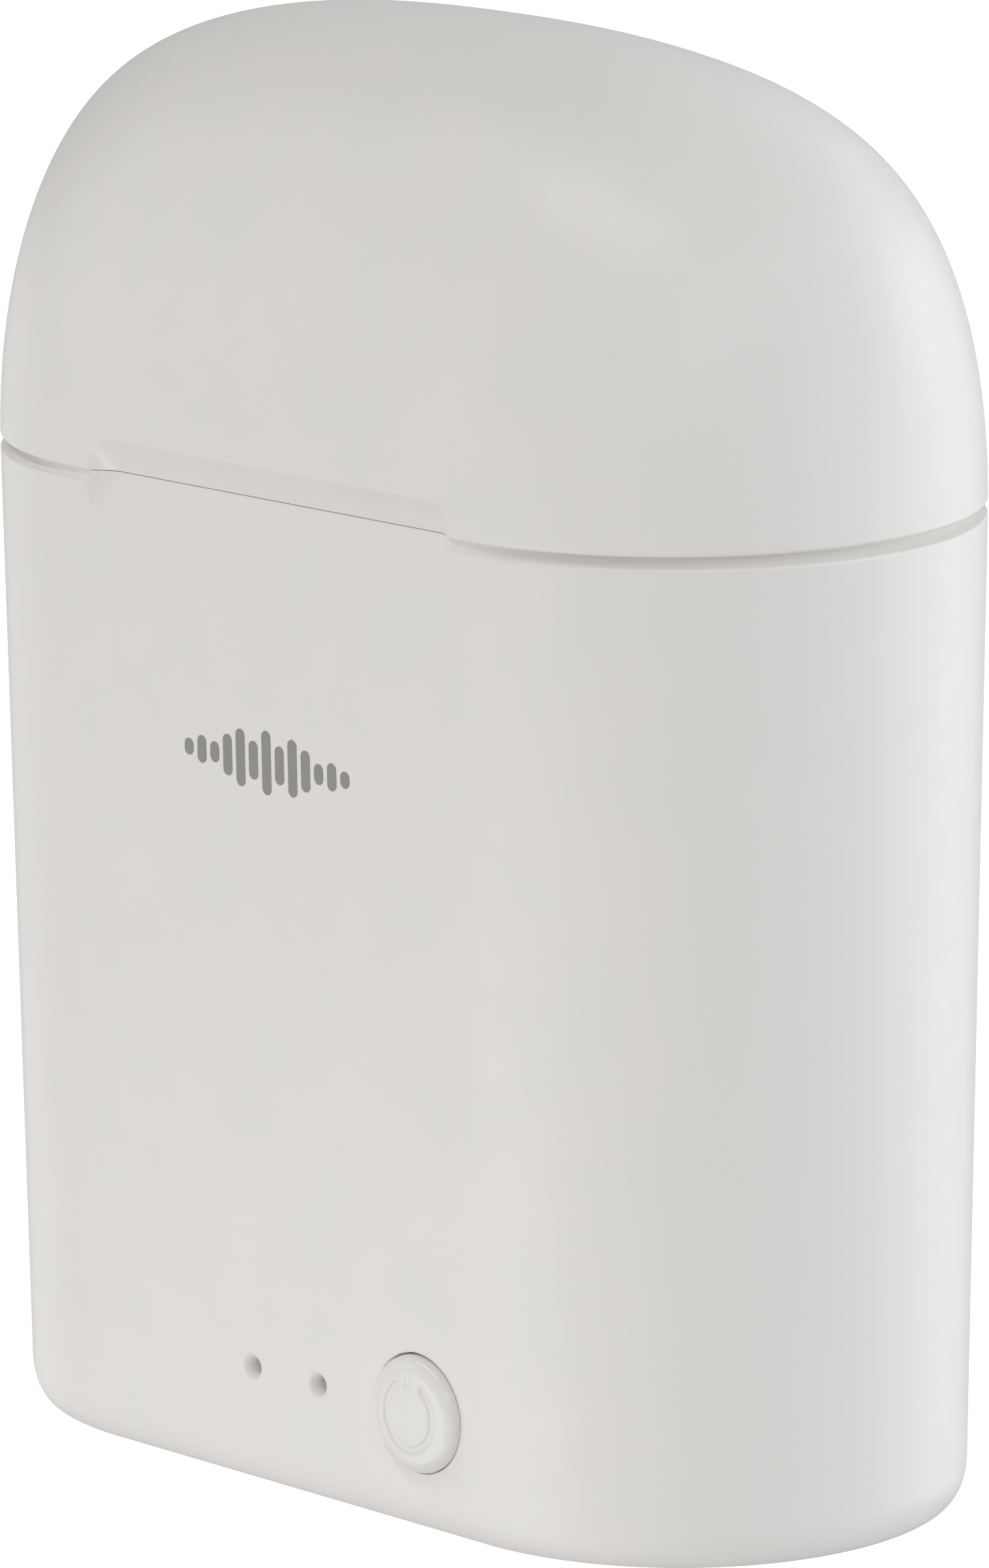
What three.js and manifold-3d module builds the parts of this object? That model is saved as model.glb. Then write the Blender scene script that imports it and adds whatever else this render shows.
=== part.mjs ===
// Wireless earbuds charging case, closed. Millimetres, +Z up, front towards -Y.
// Origin: centre of the bottom face. The lid turns about a pin along X at the rear of the seam.

import * as THREE from 'three';
import { mergeVertices } from 'three/addons/utils/BufferGeometryUtils.js';
import Module from 'manifold-3d';

const wasm = await Module();
wasm.setup();

// ---------------------------------------------------------------- driving dimensions

// Outer shape: a stadium in plan, drafted below the seam and domed above it.
const WIDTH = 46;
const DEPTH = 24.2;
const HEIGHT = 58.55;
const SEAM_Z = 40.15;
const PARTING_Z = 40.39;
const PARTING_GAP = 0.1;
const DRAFT_DEG = 1.0;
const BOTTOM_EDGE_RISE = 1.6;
const BOTTOM_EDGE_INSET = 0.75;
const BASE_RIM_RADIUS = 0.45;
const LID_RIM_RADIUS = 0.15;
const END_RADIUS = DEPTH / 2;
const FLAT_HALF = WIDTH / 2 - END_RADIUS;

// Dome: height share = (1 - |x/a|^n)^(1/m) * (1 - |y/b(x)|^p)^(1/q).
const DOME_RISE = HEIGHT - SEAM_Z;
const DOME_ALONG_X = { n: 2.34, m: 4.84 };
const DOME_ALONG_Y = { p: 1.82, q: 2.15 };

// Walls.
const BASE_WALL = 1.8;
const LID_WALL = 1.7;
const TRAY_GAP = 0.3;
const LINER_GAP = 0.35;

// Thumb notch across the seam on the front.
const NOTCH_HALF_WIDTH = 10.4;
const NOTCH_LOW_Z = 38.47;
const NOTCH_HIGH_Z = 41.95;
const NOTCH_DEPTH = 0.75;
const NOTCH_CORNER = 1.35;

// Hinge.
const HINGE_INSET = 1.2;
const HINGE_Y = END_RADIUS - HINGE_INSET;
const KNUCKLE_RADIUS = 1.15;
const KNUCKLE_CLEARANCE = 0.3;
const KNUCKLES_HALF_LENGTH = 9;
const CENTRE_KNUCKLE_HALF = 2.9;
const KNUCKLE_SIDE_GAP = 0.2;
const PIN_RADIUS = 0.5;
const PIN_BORE_RADIUS = 0.55;
const GROOVE_HALF_LENGTH = 16.4;
const GROOVE_ANGLE_DEG = 48.5;
const GROOVE_APEX_GAP = 0.15;

// Front controls.
const CONTROL_Z = 4.88;
const KEY_X = 7.68;
const KEY_HOLE_RADIUS = 2.46;
const KEY_RADIUS = 2.39;
const KEY_PROUD = 0.56;
const KEY_EDGE = { width: 0.74, depth: 0.56 };
const KEY_FLANGE_RADIUS = 3.0;
const KEY_FLANGE_BACK_Y = -9.0;
const KEY_POST_END_Y = -6.95;
const LED_X = 1.9;
const LED_HOLE_RADIUS = 0.54;
const PIPE_RADIUS = 0.46;
const PIPE_RECESS = 0.6;

// Cradle: head wells and stem tubes.
const DECK_TOP_Z = SEAM_Z - 0.7;
const DECK_THICKNESS = 1.2;
const WELL_X = 10.8;
const WELL_Y = -0.5;
const WELL_RADII = [8.6, 8.0, 8.2];
const POCKET_RADII = [8.6, 8.0, 12.2];
const WELL_WALL = 1.0;
const STEM_X = 11.2;
const STEM_Y = -3.5;
const STEM_RADIUS = 3.8;
const STEM_WALL = 0.9;
const STEM_FLOOR_Z = 14;

// Electronics.
const BOARD_FRONT_Y = -2.75;
const BOARD_BACK_Y = -1.75;
const BOARD_HALF_WIDTH = 13.8;
const BOARD_BOTTOM_Z = 2.2;
const BOARD_TOP_Z = 8.6;
const BOARD_SCREW_X = 12.2;
const PORT_HALF_WIDTH = 4.47;
const PORT_HALF_DEPTH = 1.6;
const CONTACT_BOARD_Z = 9.2;
const CONTACT_BOARD_THICKNESS = 0.8;
const CONTACT_SPACING = 1.5;
const BATTERY = { halfWidth: 13.5, yFront: 4.6, yBack: 9.0, zLow: 4.5, zHigh: 28.5 };

// Facets.
const ARC_STEPS = 16;
const ROUND_STEPS = 24;
const SMALL_STEPS = 16;

// ---------------------------------------------------------------- materials

function finish(color, roughness, metalness = 0) {
  return { color, roughness, metalness };
}

const WHITE_ABS = finish(0xe4e2de, 0.42);
const WHITE_INNER = finish(0xdcdad6, 0.5);
const WHITE_GLOSS = finish(0xe8e6e2, 0.22);
const FROSTED = finish(0xd8dad8, 0.35);
const STEEL = finish(0xb9bcc0, 0.3, 1);
const GOLD = finish(0xd9b45a, 0.25, 1);
const NICKEL = finish(0xc9c8c4, 0.25, 1);
const BOARD_GREEN = finish(0x1d5a3a, 0.5);
const CHIP_BLACK = finish(0x1b1c1e, 0.55);
const FOIL = finish(0xb4b7ba, 0.35, 1);
const TAPE_BLACK = finish(0x232325, 0.8);
const RED_PVC = finish(0xb3231e, 0.45);
const BLACK_PVC = finish(0x1a1a1c, 0.45);
const AMBER_FILM = finish(0xb5702a, 0.4);

// ---------------------------------------------------------------- geometry helpers

/** Merges shared vertices, drops empty triangles and turns the faces outwards. */
function closedBody(geometry) {
  const bare = geometry.clone();
  bare.deleteAttribute('normal');
  bare.deleteAttribute('uv');
  const merged = mergeVertices(bare, 1e-4);
  const points = merged.attributes.position.array;
  const index = merged.index.array;
  const kept = [];
  let volume = 0;
  for (let i = 0; i < index.length; i += 3) {
    const [a, b, c] = [index[i], index[i + 1], index[i + 2]];
    if (a === b || b === c || c === a) {
      continue;
    }
    kept.push(a, b, c);
    const [pa, pb, pc] = [a, b, c].map((k) => new THREE.Vector3().fromArray(points, 3 * k));
    volume += pa.dot(pb.cross(pc));
  }
  if (volume < 0) {
    kept.reverse();
  }
  const result = new THREE.BufferGeometry();
  result.setAttribute('position', new THREE.Float32BufferAttribute(points, 3));
  result.setIndex(kept);
  return result;
}

function solid(geometry) {
  const body = closedBody(geometry);
  const mesh = new wasm.Mesh({
    numProp: 3,
    vertProperties: new Float32Array(body.attributes.position.array),
    triVerts: new Uint32Array(body.index.array),
  });
  return new wasm.Manifold(mesh);
}

function toGeometry(manifold) {
  const mesh = manifold.getMesh();
  const geometry = new THREE.BufferGeometry();
  geometry.setAttribute('position', new THREE.BufferAttribute(mesh.vertProperties, 3));
  geometry.setIndex(new THREE.BufferAttribute(mesh.triVerts, 1));
  return geometry;
}

function joined(first, ...others) {
  return others.reduce((sum, other) => sum.add(other), first);
}

function cut(first, ...others) {
  return others.reduce((rest, other) => rest.subtract(other), first);
}

/** A closed skin through rings of equal point counts, from the lowest ring to the highest. */
function loft(rings, topCentre) {
  const count = rings[0].length;
  const points = rings.flat();
  const index = [];
  for (let row = 0; row + 1 < rings.length; row += 1) {
    for (let i = 0; i < count; i += 1) {
      const a = row * count + i;
      const b = row * count + ((i + 1) % count);
      index.push(a, b, b + count, a, b + count, a + count);
    }
  }
  const lowest = points.length;
  points.push(new THREE.Vector3(0, 0, rings[0][0].z));
  const highest = points.length;
  const top = (rings.length - 1) * count;
  points.push(topCentre ?? new THREE.Vector3(0, 0, points[top].z));
  for (let i = 0; i < count; i += 1) {
    const next = (i + 1) % count;
    index.push(lowest, next, i, highest, top + i, top + next);
  }
  const geometry = new THREE.BufferGeometry();
  geometry.setAttribute('position', new THREE.Float32BufferAttribute(points.flatMap((p) => p.toArray()), 3));
  geometry.setIndex(index);
  return geometry;
}

/** The stadium outline, moved inwards by inset. flatSteps divides each straight side. */
function stadium(inset, z, flatSteps = 1) {
  const radius = END_RADIUS - inset;
  const ring = [];
  for (const side of [1, -1]) {
    for (let i = 0; i <= ARC_STEPS; i += 1) {
      const angle = -Math.PI / 2 + (Math.PI * i) / ARC_STEPS;
      const x = side * (FLAT_HALF + radius * Math.cos(angle));
      ring.push(new THREE.Vector3(x, side * radius * Math.sin(angle), z));
    }
    for (let i = 1; i < flatSteps; i += 1) {
      const x = side * FLAT_HALF * (1 - (2 * i) / flatSteps);
      ring.push(new THREE.Vector3(x, side * radius, z));
    }
  }
  return ring;
}

function draftInset(z) {
  return (SEAM_Z - z) * Math.tan(THREE.MathUtils.degToRad(DRAFT_DEG));
}

function frontY(z) {
  return -(END_RADIUS - draftInset(z));
}

/** A profile of [radius, height] points turned about Z, at (x, y). */
function turnedZ(profile, x, y, steps = ROUND_STEPS) {
  const geometry = new THREE.LatheGeometry(profile.map(([r, z]) => new THREE.Vector2(r, z)), steps);
  return geometry.rotateX(Math.PI / 2).translate(x, y, 0);
}

/** A profile of [radius, y] points turned about an axis along Y, at (x, z). */
function turnedY(profile, x, z, steps = ROUND_STEPS) {
  const geometry = new THREE.LatheGeometry(profile.map(([r, y]) => new THREE.Vector2(r, y)), steps);
  return geometry.translate(x, 0, z);
}

/** A profile of [radius, x] points turned about an axis along X, at (y, z). */
function turnedX(profile, y, z, steps = ROUND_STEPS) {
  const geometry = new THREE.LatheGeometry(profile.map(([r, x]) => new THREE.Vector2(r, x)), steps);
  return geometry.rotateZ(-Math.PI / 2).translate(0, y, z);
}

function rod(radius, from, to) {
  return [[0, from], [radius, from], [radius, to], [0, to]];
}

function box(x, y, z) {
  const geometry = new THREE.BoxGeometry(x[1] - x[0], y[1] - y[0], z[1] - z[0]);
  return geometry.translate((x[0] + x[1]) / 2, (y[0] + y[1]) / 2, (z[0] + z[1]) / 2);
}

function roundedRectangle(halfWidth, halfHeight, corner, path = new THREE.Shape()) {
  const [w, h, r] = [halfWidth, halfHeight, corner];
  path.moveTo(w, -h + r);
  path.lineTo(w, h - r);
  path.absarc(w - r, h - r, r, 0, Math.PI / 2);
  path.lineTo(-w + r, h);
  path.absarc(-w + r, h - r, r, Math.PI / 2, Math.PI);
  path.lineTo(-w, -h + r);
  path.absarc(-w + r, -h + r, r, Math.PI, Math.PI * 1.5);
  path.lineTo(w - r, -h);
  path.absarc(w - r, -h + r, r, Math.PI * 1.5, Math.PI * 2);
  return path;
}

function circle(x, y, radius, path = new THREE.Path()) {
  path.absarc(x, y, radius, 0, Math.PI * 2);
  return path;
}

function polygon(points) {
  return new THREE.Shape(points.map(([u, v]) => new THREE.Vector2(u, v)));
}

function extruded(shape, length, curveSegments = 5) {
  return new THREE.ExtrudeGeometry(shape, { depth: length, bevelEnabled: false, curveSegments });
}

/** A shape drawn in (x, y), standing from one height to another. */
function extrudedZ(shape, from, to, curveSegments) {
  return extruded(shape, to - from, curveSegments).translate(0, 0, from);
}

/** A shape drawn in (x, z), running from one y to another. */
function extrudedY(shape, from, to, curveSegments) {
  return extruded(shape, to - from, curveSegments).rotateX(Math.PI / 2).translate(0, to, 0);
}

/** A shape drawn in (y, z), running from one x to another. */
function extrudedX(shape, from, to) {
  const axes = new THREE.Matrix4().makeBasis(
    new THREE.Vector3(0, 1, 0),
    new THREE.Vector3(0, 0, 1),
    new THREE.Vector3(1, 0, 0),
  );
  return extruded(shape, to - from).applyMatrix4(axes).translate(from, 0, 0);
}

function ellipsoid(radii, x, y, z) {
  const geometry = new THREE.SphereGeometry(1, ROUND_STEPS, ROUND_STEPS / 2).rotateX(Math.PI / 2);
  return geometry.scale(...radii).translate(x, y, z);
}

// ---------------------------------------------------------------- outer shape

/** The dome's height share at (x, y), for the dome moved inwards by inset. */
function domeShare(x, y, inset) {
  const a = WIDTH / 2 - inset;
  const radius = END_RADIUS - inset;
  const beyond = Math.max(Math.abs(x) - FLAT_HALF, 0);
  const b = Math.sqrt(Math.max(radius * radius - beyond * beyond, 0));
  const across = b > 0 ? Math.min(Math.abs(y) / b, 1) : 1;
  const along = Math.min(Math.abs(x) / a, 1);
  const { n, m } = DOME_ALONG_X;
  const { p, q } = DOME_ALONG_Y;
  return (1 - along ** n) ** (1 / m) * (1 - across ** p) ** (1 / q);
}

/** The dome's outline at one height share, found along rays through the stadium's points. */
function domeRing(share, inset, flatSteps) {
  return stadium(inset, SEAM_Z + share * (DOME_RISE - inset), flatSteps).map((edge) => {
    let [low, high] = [0, 1];
    for (let i = 0; i < 40; i += 1) {
      const middle = (low + high) / 2;
      if (domeShare(edge.x * middle, edge.y * middle, inset) > share) {
        low = middle;
      } else {
        high = middle;
      }
    }
    return new THREE.Vector3(edge.x * low, edge.y * low, edge.z);
  });
}

/** The domed solid moved inwards by inset, standing on the rings given. */
function dome(inset, lowRings, firstShare, rows, flatSteps) {
  const rings = [...lowRings];
  const firstAngle = Math.asin(firstShare);
  for (let row = 0; row < rows; row += 1) {
    const angle = firstAngle + ((Math.PI / 2 - firstAngle) * row) / rows;
    rings.push(domeRing(Math.sin(angle), inset, flatSteps));
  }
  return loft(rings, new THREE.Vector3(0, 0, SEAM_Z + DOME_RISE - inset));
}

function baseOuter() {
  const rings = [];
  const bottomSteps = 4;
  for (let i = 0; i <= bottomSteps; i += 1) {
    const angle = ((Math.PI / 2) * i) / bottomSteps;
    const z = BOTTOM_EDGE_RISE * (1 - Math.cos(angle));
    rings.push(stadium(draftInset(z) + BOTTOM_EDGE_INSET * (1 - Math.sin(angle)), z));
  }
  const rimSteps = 3;
  const rimTop = PARTING_Z - PARTING_GAP / 2;
  for (let i = 0; i <= rimSteps; i += 1) {
    const angle = ((Math.PI / 2) * i) / rimSteps;
    const z = rimTop - BASE_RIM_RADIUS * (1 - Math.sin(angle));
    rings.push(stadium(draftInset(z) + BASE_RIM_RADIUS * (1 - Math.cos(angle)), z));
  }
  return loft(rings);
}

function lidOuter() {
  const rows = 12;
  const flatSteps = 8;
  const rimSteps = 3;
  const rimBottom = PARTING_Z + PARTING_GAP / 2;
  const rings = [];
  for (let i = 0; i < rimSteps; i += 1) {
    const angle = ((Math.PI / 2) * i) / rimSteps;
    const z = rimBottom + LID_RIM_RADIUS * (1 - Math.cos(angle));
    rings.push(stadium(LID_RIM_RADIUS * (1 - Math.sin(angle)), z, flatSteps));
  }
  const firstShare = (rimBottom + LID_RIM_RADIUS - SEAM_Z) / DOME_RISE;
  return dome(0, rings, firstShare, rows, flatSteps);
}

function lidInner() {
  const rows = 8;
  const flatSteps = 6;
  const below = 1;
  return dome(LID_WALL, [stadium(LID_WALL, SEAM_Z - below, flatSteps)], 0.06, rows, flatSteps);
}

/** The thumb notch: a rounded window on the front, cut to a V that is deepest at the parting line. */
function thumbNotch() {
  const front = -END_RADIUS;
  const outside = 2;
  const window = extrudedY(
    roundedRectangle(NOTCH_HALF_WIDTH, (NOTCH_HIGH_Z - NOTCH_LOW_Z) / 2, NOTCH_CORNER),
    front - outside,
    front + NOTCH_DEPTH + outside,
  ).translate(0, 0, (NOTCH_HIGH_Z + NOTCH_LOW_Z) / 2);
  const spread = (NOTCH_DEPTH + outside) / NOTCH_DEPTH;
  const wedge = polygon([
    [front + NOTCH_DEPTH, PARTING_Z],
    [front - outside, PARTING_Z + spread * (NOTCH_HIGH_Z - PARTING_Z)],
    [front - outside, PARTING_Z - spread * (PARTING_Z - NOTCH_LOW_Z)],
  ]);
  return solid(window).intersect(solid(extrudedX(wedge, -WIDTH, WIDTH)));
}

/** Room for the hinge: side = 1 cuts the lid, side = -1 cuts the base. */
function hingeGroove(side) {
  const reach = 4;
  const rise = reach * Math.tan(THREE.MathUtils.degToRad(GROOVE_ANGLE_DEG));
  const start = HINGE_Y - GROOVE_APEX_GAP;
  const outline = polygon([
    [start, SEAM_Z - side],
    [HINGE_Y + reach, SEAM_Z - side],
    [HINGE_Y + reach, SEAM_Z + side * (GROOVE_APEX_GAP + rise)],
    [start, SEAM_Z + side * GROOVE_APEX_GAP],
  ]);
  return solid(extrudedX(outline, -GROOVE_HALF_LENGTH, GROOVE_HALF_LENGTH));
}

function knuckleRoom() {
  const half = KNUCKLES_HALF_LENGTH + KNUCKLE_CLEARANCE;
  return solid(turnedX(rod(KNUCKLE_RADIUS + KNUCKLE_CLEARANCE, -half, half), HINGE_Y, SEAM_Z));
}

// ---------------------------------------------------------------- shells, cradle and liner

function screwBoss(x) {
  const wallMiddle = frontY(CONTROL_Z) + BASE_WALL / 2;
  return solid(turnedY(rod(1.3, wallMiddle, BOARD_FRONT_Y - 0.3), x, CONTROL_Z, SMALL_STEPS));
}

function screwPilot(x) {
  return solid(turnedY(rod(0.5, -9, -2), x, CONTROL_Z, SMALL_STEPS));
}

function portOutline(grow) {
  const half = PORT_HALF_DEPTH + grow;
  return roundedRectangle(PORT_HALF_WIDTH + grow, half, half * 0.98);
}

function baseShell() {
  const above = 1;
  const floor = BASE_WALL;
  const hollow = loft([
    stadium(draftInset(floor) + BASE_WALL, floor),
    stadium(draftInset(SEAM_Z + above) + BASE_WALL, SEAM_Z + above),
  ]);
  const shell = cut(solid(baseOuter()), solid(hollow));
  const bosses = [BOARD_SCREW_X, -BOARD_SCREW_X].map(screwBoss);
  const frontHoles = [
    turnedY(rod(KEY_HOLE_RADIUS, -14, -9), KEY_X, CONTROL_Z),
    turnedY(rod(LED_HOLE_RADIUS, -14, -9), LED_X, CONTROL_Z, SMALL_STEPS),
    turnedY(rod(LED_HOLE_RADIUS, -14, -9), -LED_X, CONTROL_Z, SMALL_STEPS),
  ].map(solid);
  const pilots = [BOARD_SCREW_X, -BOARD_SCREW_X].map(screwPilot);
  const port = solid(extrudedZ(portOutline(0.2), -1, BASE_WALL + 1));
  return cut(
    joined(shell, ...bosses),
    ...frontHoles,
    ...pilots,
    port,
    thumbNotch(),
    hingeGroove(-1),
    knuckleRoom(),
  );
}

function lidShell() {
  return cut(solid(lidOuter()), solid(lidInner()), thumbNotch(), hingeGroove(1), knuckleRoom());
}

function grown(radii) {
  return radii.map((r) => r + WELL_WALL);
}

/** Two cups around the ellipsoids given, on the side of the plane z that keep says. */
function cups(radii, z, keepLow, keepHigh) {
  const slab = solid(box([-WIDTH, WIDTH], [-WIDTH, WIDTH], [keepLow, keepHigh]));
  const outer = [WELL_X, -WELL_X].map((x) => solid(ellipsoid(grown(radii), x, WELL_Y, z)));
  const inner = [WELL_X, -WELL_X].map((x) => solid(ellipsoid(radii, x, WELL_Y, z)));
  return { outer: joined(...outer).intersect(slab), inner: joined(...inner) };
}

function plate(inset, low, high) {
  return solid(loft([stadium(inset, low), stadium(inset, high)]));
}

function cradleTray() {
  const edge = BASE_WALL + TRAY_GAP;
  const deckBottom = DECK_TOP_Z - DECK_THICKNESS;
  const skirtBottom = 35.5;
  const skirtWall = 1;
  const deck = plate(edge, skirtBottom, DECK_TOP_Z);
  const underDeck = plate(edge + skirtWall, skirtBottom - 1, deckBottom);
  const wells = cups(WELL_RADII, DECK_TOP_Z, 0, DECK_TOP_Z);
  const tubeTop = 34;
  const stems = [STEM_X, -STEM_X];
  const tubes = stems.map((x) => solid(
    turnedZ(rod(STEM_RADIUS + STEM_WALL, STEM_FLOOR_Z - 1, tubeTop), x, STEM_Y),
  ));
  const bores = stems.map((x) => solid(turnedZ(rod(STEM_RADIUS, STEM_FLOOR_Z, tubeTop + 1), x, STEM_Y)));
  const contactHoles = contactPlaces().map(({ x }) => solid(
    turnedZ(rod(0.6, STEM_FLOOR_Z - 2, STEM_FLOOR_Z + 1), x, STEM_Y, SMALL_STEPS),
  ));
  const half = KNUCKLES_HALF_LENGTH + KNUCKLE_CLEARANCE;
  const bracketRoom = solid(box([-half, half], [8.75, END_RADIUS], [SEAM_Z - 12, SEAM_Z]));
  return cut(
    joined(cut(deck, underDeck), wells.outer, ...tubes),
    wells.inner,
    ...bores,
    ...contactHoles,
    bracketRoom,
    knuckleRoom(),
  );
}

function lidLiner() {
  const low = SEAM_Z + 0.5;
  const high = low + 1;
  const rim = plate(LID_WALL + LINER_GAP, low, high);
  const pockets = cups(POCKET_RADII, low, low, HEIGHT);
  const bracketRoom = solid(box([-6.4, 6.4], [8.65, END_RADIUS], [SEAM_Z, SEAM_Z + 6]));
  return cut(joined(rim, pockets.outer), pockets.inner, bracketRoom, knuckleRoom());
}

// ---------------------------------------------------------------- hinge

function knuckle(from, to) {
  return solid(turnedX(rod(KNUCKLE_RADIUS, from, to), HINGE_Y, SEAM_Z));
}

function pinBore() {
  return solid(turnedX(rod(PIN_BORE_RADIUS, -12, 12), HINGE_Y, SEAM_Z, SMALL_STEPS));
}

function baseBracket() {
  const inner = CENTRE_KNUCKLE_HALF + KNUCKLE_SIDE_GAP;
  const outer = KNUCKLES_HALF_LENGTH;
  const leaf = solid(box([-outer, outer], [9.0, 9.9], [31, SEAM_Z - 2]));
  const sides = [1, -1].flatMap((side) => {
    const span = [side * inner, side * outer].sort((a, b) => a - b);
    return [
      knuckle(...span),
      solid(box(span, [9.0, 9.9], [SEAM_Z - 3, SEAM_Z - 0.4])),
      solid(box(span, [9.0, HINGE_Y], [SEAM_Z - KNUCKLE_RADIUS, SEAM_Z - 0.4])),
    ];
  });
  return cut(joined(leaf, ...sides), pinBore());
}

function lidBracket() {
  const half = CENTRE_KNUCKLE_HALF;
  const leaf = solid(box([-6, 6], [8.9, 9.7], [SEAM_Z + 1.6, SEAM_Z + 5]));
  const neck = solid(box([-half, half], [8.9, 9.7], [SEAM_Z + 0.4, SEAM_Z + 2]));
  const arm = solid(box([-half, half], [8.9, HINGE_Y], [SEAM_Z + 0.4, SEAM_Z + KNUCKLE_RADIUS]));
  return cut(joined(leaf, neck, arm, knuckle(-half, half)), pinBore());
}

function hingePin() {
  const half = KNUCKLES_HALF_LENGTH - 0.1;
  return solid(turnedX(rod(PIN_RADIUS, -half, half), HINGE_Y, SEAM_Z, SMALL_STEPS));
}

// ---------------------------------------------------------------- power key, switch and lights

/** The power symbol: a ring open at the top, and a bar in the opening. */
function powerSymbol(fromY, toY) {
  const [outer, inner, opening] = [1.46, 1.18, 0.59];
  const ring = new THREE.Shape();
  const [start, end] = [Math.PI / 2 + opening, Math.PI * 2.5 - opening];
  ring.absarc(0, 0, outer, start, end, false);
  ring.absarc(0, 0, inner, end, start, true);
  const halfBar = (outer - inner) / 2;
  const bar = polygon([[-halfBar, 1.14], [halfBar, 1.14], [halfBar, 2.07], [-halfBar, 2.07]]);
  return [ring, bar].map((shape) => solid(extrudedY(shape, fromY, toY, 14).translate(KEY_X, 0, CONTROL_Z)));
}

/** The key cap with its rounded edge, the flange that holds it in, and the post to the switch. */
function powerKey() {
  const face = frontY(CONTROL_Z) - KEY_PROUD;
  const flangeFront = KEY_FLANGE_BACK_Y - 0.6;
  const edgeSteps = 5;
  const profile = [[0, face]];
  for (let i = 0; i <= edgeSteps; i += 1) {
    const angle = ((Math.PI / 2) * i) / edgeSteps;
    const radius = KEY_RADIUS - KEY_EDGE.width * (1 - Math.sin(angle));
    profile.push([radius, face + KEY_EDGE.depth * (1 - Math.cos(angle))]);
  }
  profile.push(
    [KEY_RADIUS, flangeFront],
    [KEY_FLANGE_RADIUS, flangeFront],
    [KEY_FLANGE_RADIUS, KEY_FLANGE_BACK_Y],
    [1, KEY_FLANGE_BACK_Y],
    [1, KEY_POST_END_Y],
    [0, KEY_POST_END_Y],
  );
  const engraving = powerSymbol(face - 1, face + 0.12);
  return cut(solid(turnedY(profile, KEY_X, CONTROL_Z)), ...engraving);
}

function switchBody() {
  const half = 2.25;
  const [front, back] = [-5.75, BOARD_FRONT_Y - 0.05];
  const housing = box([KEY_X - half, KEY_X + half], [front, back], [CONTROL_Z - half, CONTROL_Z + half]);
  return cut(solid(housing), solid(turnedY(rod(1.35, front - 1, front + 1.4), KEY_X, CONTROL_Z)));
}

function switchPlunger() {
  return solid(turnedY(rod(1.15, KEY_POST_END_Y + 0.1, -5.25), KEY_X, CONTROL_Z));
}

function lightPipe(x) {
  const front = frontY(CONTROL_Z) + PIPE_RECESS;
  const collar = [-9.4, -8.8];
  const profile = [
    [0, front],
    [PIPE_RADIUS, front],
    [PIPE_RADIUS, collar[0]],
    [0.95, collar[0]],
    [0.95, collar[1]],
    [PIPE_RADIUS, collar[1]],
    [PIPE_RADIUS, -3.7],
    [0, -3.7],
  ];
  return solid(turnedY(profile, x, CONTROL_Z, SMALL_STEPS));
}

function lightChip(x) {
  const [halfWidth, halfHeight] = [0.8, 0.5];
  return solid(box(
    [x - halfWidth, x + halfWidth],
    [-3.45, BOARD_FRONT_Y - 0.05],
    [CONTROL_Z - halfHeight, CONTROL_Z + halfHeight],
  ));
}

// ---------------------------------------------------------------- boards, port and battery

function mainBoard() {
  const middle = (BOARD_BOTTOM_Z + BOARD_TOP_Z) / 2;
  const outline = roundedRectangle(BOARD_HALF_WIDTH, (BOARD_TOP_Z - BOARD_BOTTOM_Z) / 2, 0.8);
  for (const x of [BOARD_SCREW_X, -BOARD_SCREW_X]) {
    outline.holes.push(circle(x, CONTROL_Z - middle, 0.7));
  }
  return solid(extrudedY(outline, BOARD_FRONT_Y, BOARD_BACK_Y).translate(0, 0, middle));
}

function boardScrew(x) {
  const seat = BOARD_BACK_Y + 0.05;
  const profile = [[0, seat + 0.7], [0.9, seat + 0.7], [1.1, seat + 0.5], [1.1, seat], [0.45, seat], [0.45, -7], [0, -7.4]];
  const slot = box([x - 0.75, x + 0.75], [seat + 0.45, seat + 1], [CONTROL_Z - 0.13, CONTROL_Z + 0.13]);
  const crossSlot = box([x - 0.13, x + 0.13], [seat + 0.45, seat + 1], [CONTROL_Z - 0.75, CONTROL_Z + 0.75]);
  return cut(solid(turnedY(profile, x, CONTROL_Z, SMALL_STEPS)), solid(slot), solid(crossSlot));
}

function contactBoard() {
  const outline = roundedRectangle(15.4, 2.3, 0.8);
  const top = CONTACT_BOARD_Z + CONTACT_BOARD_THICKNESS;
  return solid(extrudedZ(outline, CONTACT_BOARD_Z, top).translate(0, STEM_Y, 0));
}

function portShell() {
  const [low, high] = [0.35, 7];
  const wall = 0.3;
  const outer = solid(extrudedZ(portOutline(0), low, high));
  return cut(outer, solid(extrudedZ(portOutline(-wall), low - 1, high - wall)));
}

function portTongue() {
  return solid(box([-3.3, 3.3], [-0.35, 0.35], [1.1, 6.65]));
}

function battery() {
  const { halfWidth, yFront, yBack, zLow, zHigh } = BATTERY;
  const outline = roundedRectangle(halfWidth, (zHigh - zLow) / 2, 1.6);
  return solid(extrudedY(outline, yFront, yBack).translate(0, 0, (zLow + zHigh) / 2));
}

function batteryTape() {
  return solid(box([-9, 9], [BATTERY.yBack + 0.05, BATTERY.yBack + 0.55], [9, 26]));
}

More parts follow.
